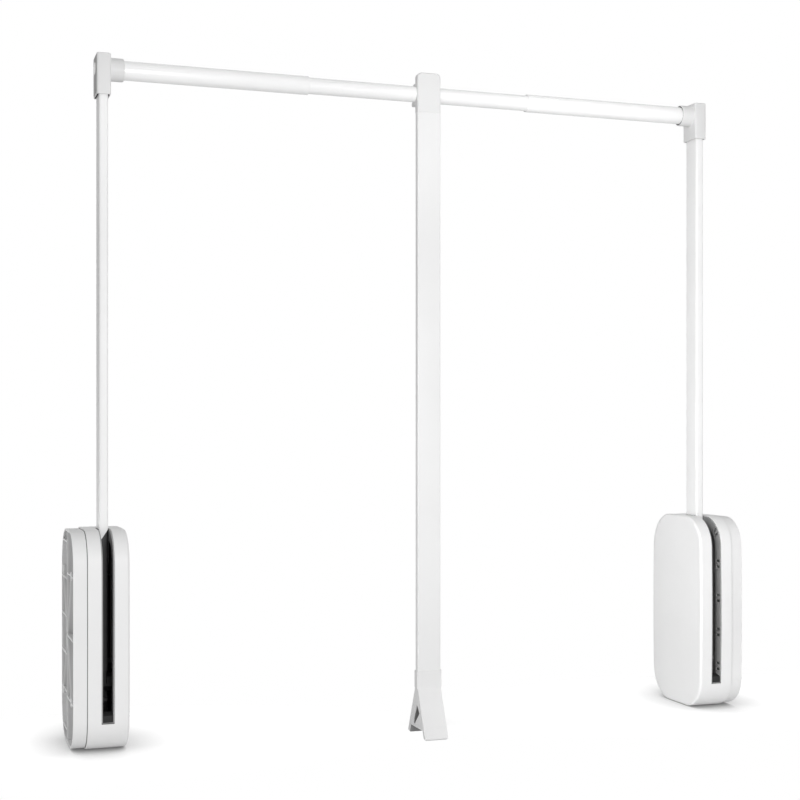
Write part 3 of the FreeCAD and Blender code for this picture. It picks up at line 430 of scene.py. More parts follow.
# Dip-coated steel is near black with a dull sheen; the casting under it is coarser.
BLACK_COAT = Finish("black_dip_coat", "#303030", "#262626", 0.5, 0.12, grain_mm=0.8, drift_mm=25.0)
BLACK_CASTING = Finish("black_coated_casting", "#292929", "#1E1E1E", 0.55, 0.14, grain_mm=1.6,
                       grain_height_mm=0.06, drift_mm=18.0)
DARK_NYLON = Finish("glass_filled_nylon", "#2E2E2E", "#242424", 0.6, 0.12, grain_mm=0.9, drift_mm=20.0)
SPRING_STEEL = Finish("oil_tempered_spring_steel", "#5A5C60", "#46484B", 0.34, 0.12, 1.0, 0.3, 0.01, 8.0)
SEAM_RUBBER = Finish("grey_seam_rubber", "#6E6E6E", "#646464", 0.7)
BUFFER_RUBBER = Finish("moulded_rubber", "#1B1B1B", "#141414", 0.8, 0.1, grain_mm=0.7,
                       grain_height_mm=0.04, drift_mm=12.0)


# ------------------------------------------------------------------ writing pieces
SHARP_DEG = 32.0  # an edge that turns more than this stays sharp to the eye
BEVEL_DEG = 35.0  # an edge that turns more than this is rounded by a bevel
FLAT_DEG = 0.5  # triangles of a CAD mesh that turn less than this become one face
WELD_MM = 0.002  # corners of a CAD mesh that are nearer than this become one


@dataclass
class Piece:
    """One finished mesh object of the dressed part.

    Attributes:
        name: Object name.
        surface: Its shape.
        finish: Its finish.
        body: Moving body that carries it.
        slot: Material slot of the record.
        replaces: CAD nodes that it stands for.
        wall: Wall thickness grown inward from an open surface, 0 for a closed one.
        soften: Width of the softened edges, 0 for none.
    """

    name: str
    surface: Surface
    finish: Finish
    body: str
    slot: str
    replaces: tuple = ()
    wall: float = 0.0
    soften: float = 0.0

    def build(self) -> bpy.types.Object:
        """Write the mesh, dress it and hang it on its body.

        Returns:
            The new object.
        """
        mesh = bpy.data.meshes.new(self.name)
        mesh.from_pydata((self.surface.points * MM).tolist(), [], self.surface.faces)
        if not self.wall:
            turn_outward(mesh)
        mesh.shade_smooth()
        mesh.set_sharp_from_angle(angle=math.radians(SHARP_DEG))
        mesh.materials.append(self.finish.material())
        made = bpy.data.objects.new(self.name, mesh)
        bpy.context.scene.collection.objects.link(made)
        if self.wall:
            shell = made.modifiers.new("wall", "SOLIDIFY")
            shell.thickness = self.wall * MM
            shell.offset = -1.0
            shell.use_even_offset = True
        if self.soften:
            soften_edges(made, self.soften)
        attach(made, self.body)
        if self.replaces:
            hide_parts(*self.replaces)
        LOG.info("%s: %d faces on %s", self.name, len(mesh.polygons), self.body)
        return made


def turn_outward(mesh: bpy.types.Mesh) -> None:
    """Turn every face of a closed mesh outward.

    Args:
        mesh: Mesh that is changed.
    """
    shape = bmesh.new()
    shape.from_mesh(mesh)
    bmesh.ops.recalc_face_normals(shape, faces=shape.faces)
    shape.to_mesh(mesh)
    shape.free()


def soften_edges(owner: bpy.types.Object, width: float) -> None:
    """Round a piece's sharp edges by a small bevel and keep its flats flat to the eye.

    Args:
        owner: Object that gets the modifiers.
        width: Width of the bevel in millimetres.
    """
    bevel = owner.modifiers.new("soft_edges", "BEVEL")
    bevel.width = width * MM
    bevel.segments = 2
    bevel.limit_method = "ANGLE"
    bevel.angle_limit = math.radians(BEVEL_DEG)
    bevel.use_clamp_overlap = True
    flats = owner.modifiers.new("flat_faces", "WEIGHTED_NORMAL")
    flats.keep_sharp = True


def dress_node(name: str, finish: Finish, soften: float = 0.0) -> None:
    """Give a CAD node its finish and, if asked, softened edges.

    Args:
        name: Node of the frame.
        finish: Its finish.
        soften: Width of its softened edges in millimetres, 0 for none.
    """
    owner = bpy.data.objects[name]
    owner.data.materials.clear()
    owner.data.materials.append(finish.material())
    if soften:
        weld = owner.modifiers.new("join", "WELD")
        weld.merge_threshold = WELD_MM * MM
        flat = owner.modifiers.new("whole_faces", "DECIMATE")
        flat.decimate_type = "DISSOLVE"
        flat.angle_limit = math.radians(FLAT_DEG)
        soften_edges(owner, soften)
    LOG.info("%s dressed as %s", name, finish.name)


# ------------------------------------------------------------------ layout read from the frame
@dataclass(frozen=True)
class Box:
    """Box round a CAD node, in millimetres.

    Attributes:
        low: Its lowest corner.
        high: Its highest corner.
    """

    low: np.ndarray
    high: np.ndarray

    @classmethod
    def of(cls, node: str) -> "Box":
        """Read a node's box from the frame."""
        return cls(*(np.array(corner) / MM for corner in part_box(node)))

    @property
    def middle(self) -> np.ndarray:
        """Centre of the box."""
        return (self.low + self.high) / 2.0

    @property
    def size(self) -> np.ndarray:
        """Lengths of the box along X, Y and Z."""
        return self.high - self.low


@dataclass(frozen=True)
class Layout:
    """Places that the sub-assemblies share, in millimetres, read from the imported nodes.

    Attributes:
        middle_x: Mirror plane between the two walls.
        arm_x: Centre plane of the left arm.
        arm_y: Centre of the arms from front to back.
        rail_z: Axis of the rail.
    """

    middle_x: float
    arm_x: float
    arm_y: float
    rail_z: float

    @classmethod
    def read(cls) -> "Layout":
        """Work the shared places out of the frame.

        Returns:
            The layout.
        """
        arm = Box.of("left_arm_tube").middle
        middle_x = (Box.of("left_base").low[0] + Box.of("right_base").high[0]) / 2.0
        return cls(middle_x, arm[0], arm[1], Box.of("inner_tube").middle[2])

    @property
    def arm_axis(self) -> tuple:
        """Place (x, y) of the left arm's middle line."""
        return self.arm_x, self.arm_y

    @property
    def rail_axis(self) -> tuple:
        """Place (y, z) of the rail's middle line."""
        return self.arm_y, self.rail_z


@dataclass
class SideUnit:
    """Sub-assembly that is shaped at the left wall and mirrored for the right one.

    Attributes:
        layout: Places that it shares with the others.
    """

    layout: Layout

    def put(self, side: Side, label: str, shape: Surface, finish: Finish, body: str, slot: str,
            node: str = "", **more: float) -> bpy.types.Object:
        """Make one piece. Its label, body and node are given without the side.

        Args:
            side: Wall that it belongs to.
            label: Its name.
            shape: Its shape at the left wall.
            finish: Its finish.
            body: Moving body that carries it.
            slot: Material slot of the record.
            node: CAD node that it stands for, or "" for none.
            more: Its wall and softened edges.

        Returns:
            The new object.
        """
        placed = shape if side is Side.LEFT else shape.mirrored(self.layout.middle_x)
        return Piece(f"{side.value}_{label}", placed, finish, f"{side.value}_{body}", slot,
                     (f"{side.value}_{node}",) if node else (), **more).build()


# ------------------------------------------------------------------ housing
@dataclass
class HousingOutline:
    """Outline of a housing seen along the rail: bowed front and rear, four round corners.

    The trace starts under the middle, runs to the front, up, over the top and down the rear. It is made of
    circle arcs about their centres and of straight runs, and is read by its length from the start.

    Attributes:
        front: Foremost y.
        rear: Rearmost y.
        low: Height of the underside.
        high: Height of the top.
        bow: How far front and rear bow out over the whole height.
        front_radius: Radius of the front corners.
        rear_radius: Radius of the rear corners.
        dense: Points per arc.
        points: Places (n, 2) along the trace.
        normals: Outward directions (n, 2) at those places.
        lengths: Their lengths (n,) from the start.
    """

    front: float
    rear: float
    low: float
    high: float
    bow: float = 2.5
    front_radius: float = 44.0
    rear_radius: float = 50.0
    dense: int = 500
    points: np.ndarray = field(init=False)
    normals: np.ndarray = field(init=False)
    lengths: np.ndarray = field(init=False)

    def __post_init__(self) -> None:
        """Trace the outline densely once."""
        middle = (self.low + self.high) / 2.0
        half = (self.high - self.low) / 2.0
        side_radius = (half ** 2 + self.bow ** 2) / (2.0 * self.bow)
        parts = []
        faces = ((-1.0, self.front, self.front_radius), (1.0, self.rear, self.rear_radius))
        for sign, face, radius in faces:
            centre_y = face - sign * side_radius
            reach = math.sqrt((side_radius - radius) ** 2 - (half - radius) ** 2)
            corner_y = centre_y + sign * reach
            tilt = math.atan2(half - radius, reach)
            arcs = [(corner_y, self.low + radius, radius, -math.pi / 2.0, -tilt),
                    (centre_y, middle, side_radius, -tilt, tilt),
                    (corner_y, self.high - radius, radius, tilt, math.pi / 2.0)]
            for y, z, r, first, last in (arcs if sign < 0 else reversed(arcs)):
                turn = np.linspace(first, last, self.dense)
                turn = turn if sign < 0 else turn[::-1]
                normal = np.stack([sign * np.cos(turn), np.sin(turn)], axis=1)
                parts.append((np.array([y, z]) + r * normal, normal))
        start = np.array([[(parts[0][0][0, 0] + parts[-1][0][-1, 0]) / 2.0, self.low]])
        down = np.array([[0.0, -1.0]])
        self.points = np.concatenate([start] + [p for p, _ in parts] + [start])
        self.normals = np.concatenate([down] + [n for _, n in parts] + [down])
        steps = np.linalg.norm(np.diff(self.points, axis=0), axis=1)
        self.lengths = np.concatenate([[0.0], np.cumsum(steps)])

    def at(self, length: np.ndarray, inset: np.ndarray | float) -> np.ndarray:
        """Find places on the trace, moved inward along its normal.

        Args:
            length: Lengths from the start of the trace.
            inset: How far inward, one for all of them or one for each.

        Returns:
            Places (..., 2) as y and z.
        """
        place = np.stack([np.interp(length, self.lengths, self.points[:, k]) for k in (0, 1)], axis=-1)
        normal = np.stack([np.interp(length, self.lengths, self.normals[:, k]) for k in (0, 1)], axis=-1)
        normal /= np.linalg.norm(normal, axis=-1, keepdims=True)
        return place - normal * np.asarray(inset)[..., None]

    def facing_rear(self, length: np.ndarray) -> np.ndarray:
        """How far the trace faces the rear at each length: 1 on the rear side, 0 on front and top."""
        return np.clip(np.interp(length, self.lengths, self.normals[:, 0]), 0.0, 1.0)

    def length_up_front(self, z: float) -> float:
        """Length at which the front of the trace passes a height."""
        rising = np.argmax(self.points[:, 1])
        return float(np.interp(z, self.points[:rising, 1], self.lengths[:rising]))

    def length_over_top(self, y: float) -> float:
        """Length at which the top of the trace passes a depth."""
        upper = self.points[:, 1] > (self.low + self.high) / 2.0
        return float(np.interp(y, self.points[upper, 0], self.lengths[upper]))


@dataclass
class Housing(SideUnit):
    """Moulded wall housing: soft-edged cover slotted for the arm, its inner slot collar, and the base.

    Attributes:
        wall: Thickness of the cover.
        edge_radius: Rounding of the cover's inner edge at the front.
        rear_edge_radius: The same at the rear.
        edge_steps: Straight runs over that rounding.
        soften: Width of the softened edges of cover and base.
        station: Distance between the points along the outline.
        mark_clear: Share of it within which an even point gives way to a mark.
        slot_clear: Room between the arm and each side of the slot.
        slot_bottom_above: Height of the slot's lower end above the underside.
        slot_rear_behind_arm: How far the slot runs behind the arm's middle.
        collar_wall: Thickness of the slot's collar.
        collar_depth: How far it goes in behind the cover's wall.
        collar_soften: Width of its softened edges.
        collar_end_points: Points across each end of its loop, between the two sides.
        nub_count: Nubs on each side of the collar.
        nub_first_above: Height of the lowest nub above the underside.
        nub_below_top: How far the highest nub is below the top.
        nub_height: Height of a nub.
        nub_proud: How far it stands out of the collar.
        nub_root: How far it goes into the collar.
        nub_length: Its length inward.
        nub_start: Depth at which it starts.
        nub_grid: Points along and over a nub.
        window_height: Height of the windows above and below a nub.
        rib_edge: Depth to which the base's ribs look white, from the wall.
        pocket_from: Depth from which its pockets are painted grey as shade.
        pocket_shade_grey: sRGB colour of the painted shade in the pockets.
        rim_power: Exponent of the curve inside the base's rim.
        rim_limit: Sum of the two powers up to which a place is inside the rim.
        seam_width: Width of the seam.
        seam_depth: Its depth.
        seam_proud: How far it stands out of the base's edge.
        cover: Box of the left cover.
        base: Box of the left base.
        outline: Outline of the left cover.
        slot_half: Half the slot's width.
        slot_start: Length along the outline at which the slot begins, low in front.
        slot_end: Length at which it ends, behind the arm.
    """

    wall: float = 2.5
    edge_radius: float = 3.6
    rear_edge_radius: float = 15.0
    edge_steps: int = 16
    soften: float = 0.35
    station: float = 2.5
    mark_clear: float = 0.35
    slot_clear: float = 2.2
    slot_bottom_above: float = 37.5
    slot_rear_behind_arm: float = 17.0
    collar_wall: float = 1.6
    collar_depth: float = 13.0
    collar_soften: float = 0.2
    collar_end_points: int = 3
    nub_count: int = 5
    nub_first_above: float = 62.0
    nub_below_top: float = 18.5
    nub_height: float = 5.0
    nub_proud: float = 1.2
    nub_root: float = 0.6
    nub_length: float = 9.5
    nub_start: float = 3.0
    nub_grid: tuple = (13, 11)
    window_height: float = 3.6
    # Painted shade: the base's pockets are coloured grey deeper than the ribs' edges, inside the rim.
    rib_edge: float = 0.5
    pocket_from: float = 3.0
    pocket_shade_grey: str = "#DADADA"
    rim_power: float = 4.0
    rim_limit: float = 0.93
    seam_width: float = 1.0
    seam_depth: float = 1.0
    seam_proud: float = 0.06
    cover: Box = field(init=False)
    base: Box = field(init=False)
    outline: HousingOutline = field(init=False)
    slot_half: float = field(init=False)
    slot_start: float = field(init=False)
    slot_end: float = field(init=False)

    def __post_init__(self) -> None:
        """Read the housing's boxes, trace its outline and place the slot on it."""
        self.cover, self.base = Box.of("left_cover"), Box.of("left_base")
        low, high = self.cover.low, self.cover.high
        self.outline = HousingOutline(low[1], high[1], low[2], high[2])
        self.slot_half = Box.of("left_arm_tube").size[0] / 2.0 + self.slot_clear
        self.slot_start = self.outline.length_up_front(low[2] + self.slot_bottom_above)
        self.slot_end = self.outline.length_over_top(self.layout.arm_y + self.slot_rear_behind_arm)

    def stations(self, first: float, last: float, marks: Iterable[float] = ()) -> np.ndarray:
        """Space lengths evenly along the trace and add the marks between its ends.

        Args:
            first: First length.
            last: Last length.
            marks: Lengths that have to be hit.

        Returns:
            The lengths in rising order.
        """
        count = max(2, int(round((last - first) / self.station)) + 1)
        even = np.linspace(first, last, count)
        marks = np.array([m for m in marks if first < m < last])
        if len(marks):
            clear = np.abs(even[:, None] - marks[None]).min(axis=1) > self.station * self.mark_clear
            clear[[0, -1]] = True
            even = np.concatenate([even[clear], marks])
        return np.sort(even)

    def shell(self) -> Surface:
        """Cover's outer skin: the trace carried along X, rounded over the edge and closed by a flat face.

        Rows are (x, inset): straight from the seam to the start of the round edge, then
        x = end - r (1 - sin t), inset = r (1 - cos t), with an r that grows from the front to the rear by
        how far the outline faces the rear. The slot's cells stay open.

        Returns:
            The skin without its wall.
        """
        seam, end = self.cover.low[0], self.cover.high[0]
        t = np.linspace(0.0, math.pi / 2.0, self.edge_steps + 1)[:, None]
        s = self.stations(0.0, self.outline.lengths[-1], (self.slot_start, self.slot_end))[:-1]
        radius = self.edge_radius + (self.rear_edge_radius - self.edge_radius) * self.outline.facing_rear(s)
        straight = np.array([seam, self.layout.arm_x - self.slot_half, self.layout.arm_x + self.slot_half])
        x = np.concatenate([np.repeat(straight[:, None], len(s), axis=1), end - radius * (1.0 - np.sin(t))])
        inset = np.concatenate([np.zeros((len(straight), len(s))), radius * (1.0 - np.cos(t))])
        points = np.concatenate([x[..., None], self.outline.at(np.broadcast_to(s, x.shape), inset)], axis=2)
        keep = np.ones((len(x) - 1, len(s)), bool)
        keep[1] = ~((s > self.slot_start - SAME_MM) & (s < self.slot_end - SAME_MM))
        skin = grid(points, close_cols=True, keep=keep)
        skin.faces.append(tuple(range((len(x) - 1) * len(s), len(x) * len(s))))
        return facing_out(skin, np.array([seam, self.layout.arm_y, self.cover.middle[2]]))

    def seam(self) -> Surface:
        """Thin ring on the base's edge where the cover meets it: a square section along the trace.

        Returns:
            A closed surface.
        """
        outer = self.base.low[1] - self.cover.low[1] - self.seam_proud
        inner = outer + self.seam_depth
        end = self.cover.low[0]
        start = end - self.seam_width
        s = self.stations(0.0, self.outline.lengths[-1])[:-1]
        return sleeve([carried(self.outline.at(s, inset), x, Axis.X)
                       for x, inset in ((start, outer), (end, outer), (end, inner), (start, inner))])

    def nub_places(self) -> np.ndarray:
        """Place the nubs' middles, evenly spaced in height.

        Returns:
            Their lengths along the trace.
        """
        lowest, highest = self.cover.low[2] + self.nub_first_above, self.cover.high[2] - self.nub_below_top
        heights = np.linspace(lowest, highest, self.nub_count)
        return np.array([self.outline.length_up_front(z) for z in heights])

    def collar(self) -> Surface:
        """Thin collar inside the slot: a loop round the slot's edge carried inward by its depth.

        The loop runs up one side, across behind, down the other side and across below; each depth row is
        the same loop inset further. Windows above and below every nub stay open in both sides.

        Returns:
            The skin without its wall.
        """
        nubs, half, window = self.nub_places(), self.nub_height / 2.0, self.window_height
        gaps = np.concatenate([nubs - half - window, nubs - half, nubs + half, nubs + half + window])
        s = self.stations(self.slot_start, self.slot_end, gaps)
        across = np.linspace(-1.0, 1.0, self.collar_end_points + 2)[1:-1]
        loop_s = np.concatenate([s, np.full(len(across), s[-1]), s[::-1], np.full(len(across), s[0])])
        loop_x = np.concatenate([np.full(len(s), -1.0), across, np.full(len(s), 1.0), across[::-1]])
        loop_x = loop_x * self.slot_half + self.layout.arm_x
        depths = np.array([self.wall / 2.0, self.nub_start, self.nub_start + self.nub_length,
                           self.wall + self.collar_depth])
        rows = self.outline.at(np.broadcast_to(loop_s, (len(depths), len(loop_s))), depths[:, None])
        x = np.broadcast_to(loop_x[None, :, None], rows.shape[:2] + (1,))
        middle = (s[:-1] + s[1:]) / 2.0
        away = np.abs(middle[:, None] - nubs[None]).min(axis=1)
        closed = (away <= half) | (away >= half + window)
        keep = np.ones((len(depths) - 1, len(loop_s)), bool)
        keep[1, :len(middle)] = closed
        down = len(s) + len(across)
        keep[1, down:down + len(middle)] = closed[::-1]
        return grid(np.concatenate([x, rows], axis=2), close_cols=True, keep=keep)

    def nubs(self) -> Surface:
        """Low pillow-shaped nubs on both sides of the collar.

        Each is a half capsule: over u along its length and v over its height, it stands proud by
        proud * sqrt(1 - v^2) * (1 - u^8).

        Returns:
            All nubs as one surface of closed skins.
        """
        u, v = np.meshgrid(*(np.linspace(-1.0, 1.0, count) for count in self.nub_grid), indexing="ij")
        rise = self.nub_proud * np.sqrt(np.clip(1.0 - v ** 2, 0.0, 1.0)) * (1.0 - u ** 8)
        depth = self.nub_start + self.nub_length * (u + 1.0) / 2.0
        parts = []
        for place in self.nub_places():
            flat = self.outline.at(place + v * self.nub_height / 2.0, depth)
            for sign in (-1.0, 1.0):
                wall_x = self.layout.arm_x + sign * self.slot_half
                top = np.concatenate([(wall_x - sign * rise)[..., None], flat], axis=2)
                root = np.full(rise.shape + (1,), wall_x + sign * self.nub_root)
                parts.append(pillow(top, np.concatenate([root, flat], axis=2)))
        return parts[0].joined(*parts[1:])

    def pocket_shade_mask(self, tree: bpy.types.NodeTree, place: bpy.types.NodeSocket) -> bpy.types.Node:
        """Add nodes that give 1 in the base's pockets, where shade is painted, and 0 on the ribs' outer
        edges and round the rim.

        The depth is measured from the nearer wall, half - |x - middle|, and the rim's inside is where
        (|y - y0| / b)^4 + (|z - z0| / c)^4 is below the limit.

        Args:
            tree: Node tree of the material.
            place: Place on the object, in metres.

        Returns:
            The node that carries the result.
        """
        middle, half, mirror = self.base.middle * MM, self.base.size / 2.0 * MM, self.layout.middle_x * MM
        axes = add_node(tree, "ShaderNodeSeparateXYZ", {"Vector": place}).outputs
        depth = add_node(tree, MATH, {"operation": "SUBTRACT", 0: mirror - float(self.base.low[0]) * MM,
                                      1: distance_from(tree, axes["X"], mirror)})
        deep = add_node(tree, "ShaderNodeMapRange",
                        {"interpolation_type": "SMOOTHSTEP", "From Min": self.rib_edge * MM,
                         "From Max": self.pocket_from * MM, "Value": depth})
        shares = []
        for axis in (Axis.Y, Axis.Z):
            away = distance_from(tree, axes[axis.name], float(middle[axis.value]))
            share = add_node(tree, MATH, {"operation": "DIVIDE", 0: away, 1: float(half[axis.value])})
            shares.append(add_node(tree, MATH, {"operation": "POWER", 0: share, 1: self.rim_power}))
        spread = add_node(tree, MATH, {"operation": "ADD", 0: shares[0], 1: shares[1]})
        inside = add_node(tree, MATH, {"operation": "LESS_THAN", 0: spread, 1: self.rim_limit})
        return add_node(tree, MATH, {"operation": "MULTIPLY", 0: deep, 1: inside})

    def build(self, side: Side) -> None:
        """Make and dress one housing.

        Args:
            side: Wall that it is screwed to.
        """
        slot = "housing_cover_plastic"
        self.put(side, "cover_shell", self.shell(), COVER_ABS, "unit", slot, "cover", wall=self.wall,
                 soften=self.soften)
        # The collar's grey is painted shade inside the slot.
        self.put(side, "slot_collar", self.collar(), SLOT_COLLAR_SHADE_ABS, "unit", slot, wall=self.collar_wall,
                 soften=self.collar_soften)
        self.put(side, "slot_nubs", self.nubs(), COVER_ABS, "unit", slot)
        self.put(side, "cover_seam", self.seam(), SEAM_RUBBER, "unit", "buffer_rubber")
        # The pockets' grey is painted shade.
        pockets = replace(BASE_ABS, inner=self.pocket_shade_grey, painted_shade_mask=self.pocket_shade_mask)
        dress_node(f"{side.value}_base", pockets, self.soften)
        dress_node(f"{side.value}_cover_screws", ZINC_STEEL)


def pillow(top: np.ndarray, back: np.ndarray) -> Surface:
    """Join a top grid and a back grid round their edge.

    Args:
        top: Array (rows, columns, 3).
        back: Array of the same size.

    Returns:
        A closed surface.
    """
    rows, cols = top.shape[:2]
    both = grid(top).joined(grid(back))
    edge = np.concatenate([np.arange(cols), np.arange(1, rows) * cols + cols - 1,
                           (rows - 1) * cols + np.arange(cols - 2, -1, -1),
                           np.arange(rows - 2, 0, -1) * cols])
    after = np.roll(edge, -1)
    shift = rows * cols
    rim = np.stack([edge, after, after + shift, edge + shift], axis=1)
    both.faces += [tuple(q) for q in rim.tolist()]
    return both


def facing_out(skin: Surface, inside: np.ndarray) -> Surface:
    """Turn a skin's faces away from an inner point, judged by its first face.

    Args:
        skin: Surface whose faces all turn the same way.
        inside: Point on its inner side.

    Returns:
        The skin itself, or the same with its faces turned.
    """
    corners = skin.points[list(skin.faces[0])]
    normal = np.cross(corners[1] - corners[0], corners[2] - corners[0])
    if np.dot(normal, corners[0] - inside) < 0:
        return Surface(skin.points, [tuple(reversed(face)) for face in skin.faces])
    return skin


# ------------------------------------------------------------------ arm and head
@dataclass
class Arm(SideUnit):
    """Powder-coated flat tube from the pivot to the head block, black at its foot as painted shade in the
    slot, and the head with its collar and cap.

    Attributes:
        corner_radius: Rounding of the arm's long edges.
        tube_wall: Thickness of the arm's wall.
        foot_slant: Fall of the black foot's end, a painted shadow line, from the inner to the outer face.
        cheek_wall: Thickness of the cheeks on the arm's flats.
        cheek_height: Their height.
        cheek_corner: Rounding of their upright edges.
        plate_rim: Rounding of the ends of thin plates.
        head_corner: Rounding of the head's upright edges.
        head_rim: Rounding of its top.
        head_rim_low: Rounding of its underside.
        end_plate_step: How far the end plate stands out of the head.
        end_plate_inset: Rim of the head that shows round it.
        end_plate_corner: Rounding of its corners.
        pocket_gap: Room between the arm and the head's pocket.
        pocket_edge: Height above the underside at which the pocket's walls begin.
        pocket_depth: Depth of the pocket.
        shade_ring_recess: How far the dark ring under the head, painted shade, is set back.
        shade_ring_height: Thickness of both dark rings.
        shade_ring_gap: Room between a dark ring and what it goes round.
        shade_ring_short: Room between the dark ring round the arm and the pocket's walls.
        rail_shadow_ring_recess: How far the dark ring round the rail, a painted shadow, is set back.
        rail_shadow_ring_short: Room between the dark ring round the rail and the collar's mouth.
        collar_sink: How far the collar starts inside the head.
        collar_radius: Its outer radius.
        collar_flange: How much more the radius of its foot is.
        collar_flange_width: Width of that foot.
        collar_flange_end: Distance from its start to where its slope ends.
        collar_chamfer: Length of the chamfer at its free end.
        collar_chamfer_fall: Share of it by which the radius falls.
        collar_bite: How much less the radius of its bore is than the rail's.
        mouth_radius: Radius of the mouth round the rail.
        mouth_depth: Depth of the mouth.
        mouth_lip: Length of its first slope.
        mouth_lip_fall: Fall of the radius over that slope.
        mouth_fall: Fall of the radius down to the bottom.
        cap_rim: Rounding of the cap's face.
        cap_steps: Straight runs over that rounding.
        rail_wall: Thickness of the outer rail tube.
        rail_lip: Rounding of its free end.
        rail_inner_edge: Chamfer inside that end.
        arm: Box of the left arm.
        block: Box of its head block.
        rail: Box of the left outer rail tube.
        rail_radius: Outer radius of that tube.
        housing_top: Height of the housing's top.
        section: Outline maker of the arm, from an inset.
    """

    corner_radius: float = 2.5
    tube_wall: float = 1.2
    foot_slant: float = 18.0
    cheek_wall: float = 0.9
    cheek_height: float = 46.0
    cheek_corner: float = 0.3
    plate_rim: float = 0.2
    head_corner: float = 2.5
    head_rim: float = 1.6
    head_rim_low: float = 0.8
    end_plate_step: float = 0.3
    end_plate_inset: float = 2.6
    end_plate_corner: float = 1.5
    pocket_gap: float = 2.0
    pocket_edge: float = 0.3
    pocket_depth: float = 9.0
    shade_ring_recess: float = 0.9
    shade_ring_height: float = 2.0
    shade_ring_gap: float = 0.02
    shade_ring_short: float = 0.05
    rail_shadow_ring_recess: float = 0.5
    rail_shadow_ring_short: float = 0.25
    collar_sink: float = 0.2
    collar_radius: float = 15.0
    collar_flange: float = 0.6
    collar_flange_width: float = 0.35
    collar_flange_end: float = 0.9
    collar_chamfer: float = 1.5
    collar_chamfer_fall: float = 0.6
    collar_bite: float = 0.1
    mouth_radius: float = 14.0
    mouth_depth: float = 5.0
    mouth_lip: float = 0.4
    mouth_lip_fall: float = 0.2
    mouth_fall: float = 0.3
    cap_rim: float = 0.6
    cap_steps: int = 6
    rail_wall: float = 1.0
    rail_lip: float = 0.3
    rail_inner_edge: float = 0.1
    arm: Box = field(init=False)
    block: Box = field(init=False)
    rail: Box = field(init=False)
    rail_radius: float = field(init=False)
    housing_top: float = field(init=False)
    section: Callable[[float], np.ndarray] = field(init=False)

    def __post_init__(self) -> None:
        """Read the boxes of the arm, its head and its rail tube, and set up the arm's section."""
        self.arm, self.block = Box.of("left_arm_tube"), Box.of("left_head_block")
        self.rail = Box.of("left_outer_tube")
        self.rail_radius = self.rail.size[2] / 2.0
        self.housing_top = Box.of("left_cover").high[2]
        self.section = rounded_rectangle(self.layout.arm_axis, self.arm.size[0], self.arm.size[1],
                                         self.corner_radius)

    def foot_top(self, x: np.ndarray) -> np.ndarray:
        """Height at each x of the slanted painted shadow line where the black foot, painted shade, ends and
        the white coat begins.

        It is level with the housing's top on the arm's inner face and falls linearly to the outer one.
        """
        return self.housing_top - self.foot_slant * (self.arm.high[0] - x) / self.arm.size[0]

    def tube(self, bottom: Callable, top: Callable) -> Surface:
        """Flat tube with round long edges and an open inside, one closed skin.

        Sections run up the outside, across the wall at the top and down the inside.

        Args:
            bottom: Lowest height of the stretch at each x.
            top: Highest height of the stretch at each x.

        Returns:
            A closed surface.
        """
        rows = []
        for inset, height in ((0.0, bottom), (0.0, top), (self.tube_wall, top), (self.tube_wall, bottom)):
            outline = self.section(inset)
            rows.append(np.concatenate([outline, height(outline[:, 0])[:, None]], axis=1))
        return sleeve(rows)

    def cheeks(self) -> Surface:
        """Black cheeks on both flat sides of the arm, up to the housing's top, that paint the shade in the
        slot beside the arm: two thin prisms.

        Returns:
            Both as one surface of closed skins.
        """
        half, flat = self.cheek_wall / 2.0, self.arm.size[1] - 2.0 * self.corner_radius
        path = rim_path(self.housing_top - self.cheek_height, self.housing_top, self.plate_rim,
                        self.plate_rim, FEW_STEPS)
        plates = [prism(rounded_rectangle((x, self.layout.arm_y), self.cheek_wall, flat, self.cheek_corner,
                                          FEW_STEPS), path, Axis.Z)
                  for x in (self.arm.low[0] - half, self.arm.high[0] + half)]
        return plates[0].joined(plates[1])

    def head(self) -> Surface:
        """Head block: rounded prism whose underside opens into a pocket round the arm.

        Returns:
            A closed surface.
        """
        low, high, step = self.block.low, self.block.high, self.end_plate_step
        outer = rounded_rectangle((self.layout.arm_x + step / 2.0, self.layout.arm_y),
                                  2.0 * (self.layout.arm_x - low[0]) - step, self.block.size[1],
                                  self.head_corner)
        pocket = self.section(-self.pocket_gap)
        sections = [carried(pocket, low[2] + height, Axis.Z)
                    for height in (self.pocket_depth, self.pocket_edge)]
        sections += [carried(outer(inset), height, Axis.Z)
                     for inset, height in rim_path(low[2], high[2], self.head_rim_low, self.head_rim)]
        return loft(np.stack(sections))

    def end_plate(self) -> Surface:
        """Flat plate on the head's outer end, round which the block's rim shows; its grey is painted shade.

        Returns:
            A closed surface.
        """
        start, width, height = self.block.low[0], *(self.block.size[1:] - 2.0 * self.end_plate_inset)
        face = rounded_rectangle((self.layout.arm_y, self.block.middle[2]), width, height,
                                 self.end_plate_corner)
        return prism(face, rim_path(start, start + 2.0 * self.end_plate_step, self.plate_rim,
                                    self.plate_rim, FEW_STEPS), Axis.X)

    def arm_shade_ring(self) -> Surface:
        """Black ring between the arm and the head's pocket, painted shade for the head's dim underside: a
        square section carried round the arm.

        Returns:
            A closed surface.
        """
        bottom = self.block.low[2] + self.shade_ring_recess
        top = bottom + self.shade_ring_height
        inner, outer = -self.shade_ring_gap, self.shade_ring_short - self.pocket_gap
        return sleeve([carried(self.section(inset), height, Axis.Z)
                       for inset, height in ((inner, bottom), (inner, top), (outer, top), (outer, bottom))])

    def rail_shadow_ring(self) -> Surface:
        """Black ring between the rail and the collar's mouth, a painted shadow line in the mouth: a square
        section turned round the rail.

        Returns:
            A closed surface.
        """
        end = self.block.high[0] - self.rail_shadow_ring_recess
        start = end - self.shade_ring_height
        inner, outer = self.rail_radius + self.shade_ring_gap, self.mouth_radius - self.rail_shadow_ring_short
        return lathe([(start, inner), (end, inner), (end, outer), (start, outer)], self.layout.rail_axis)

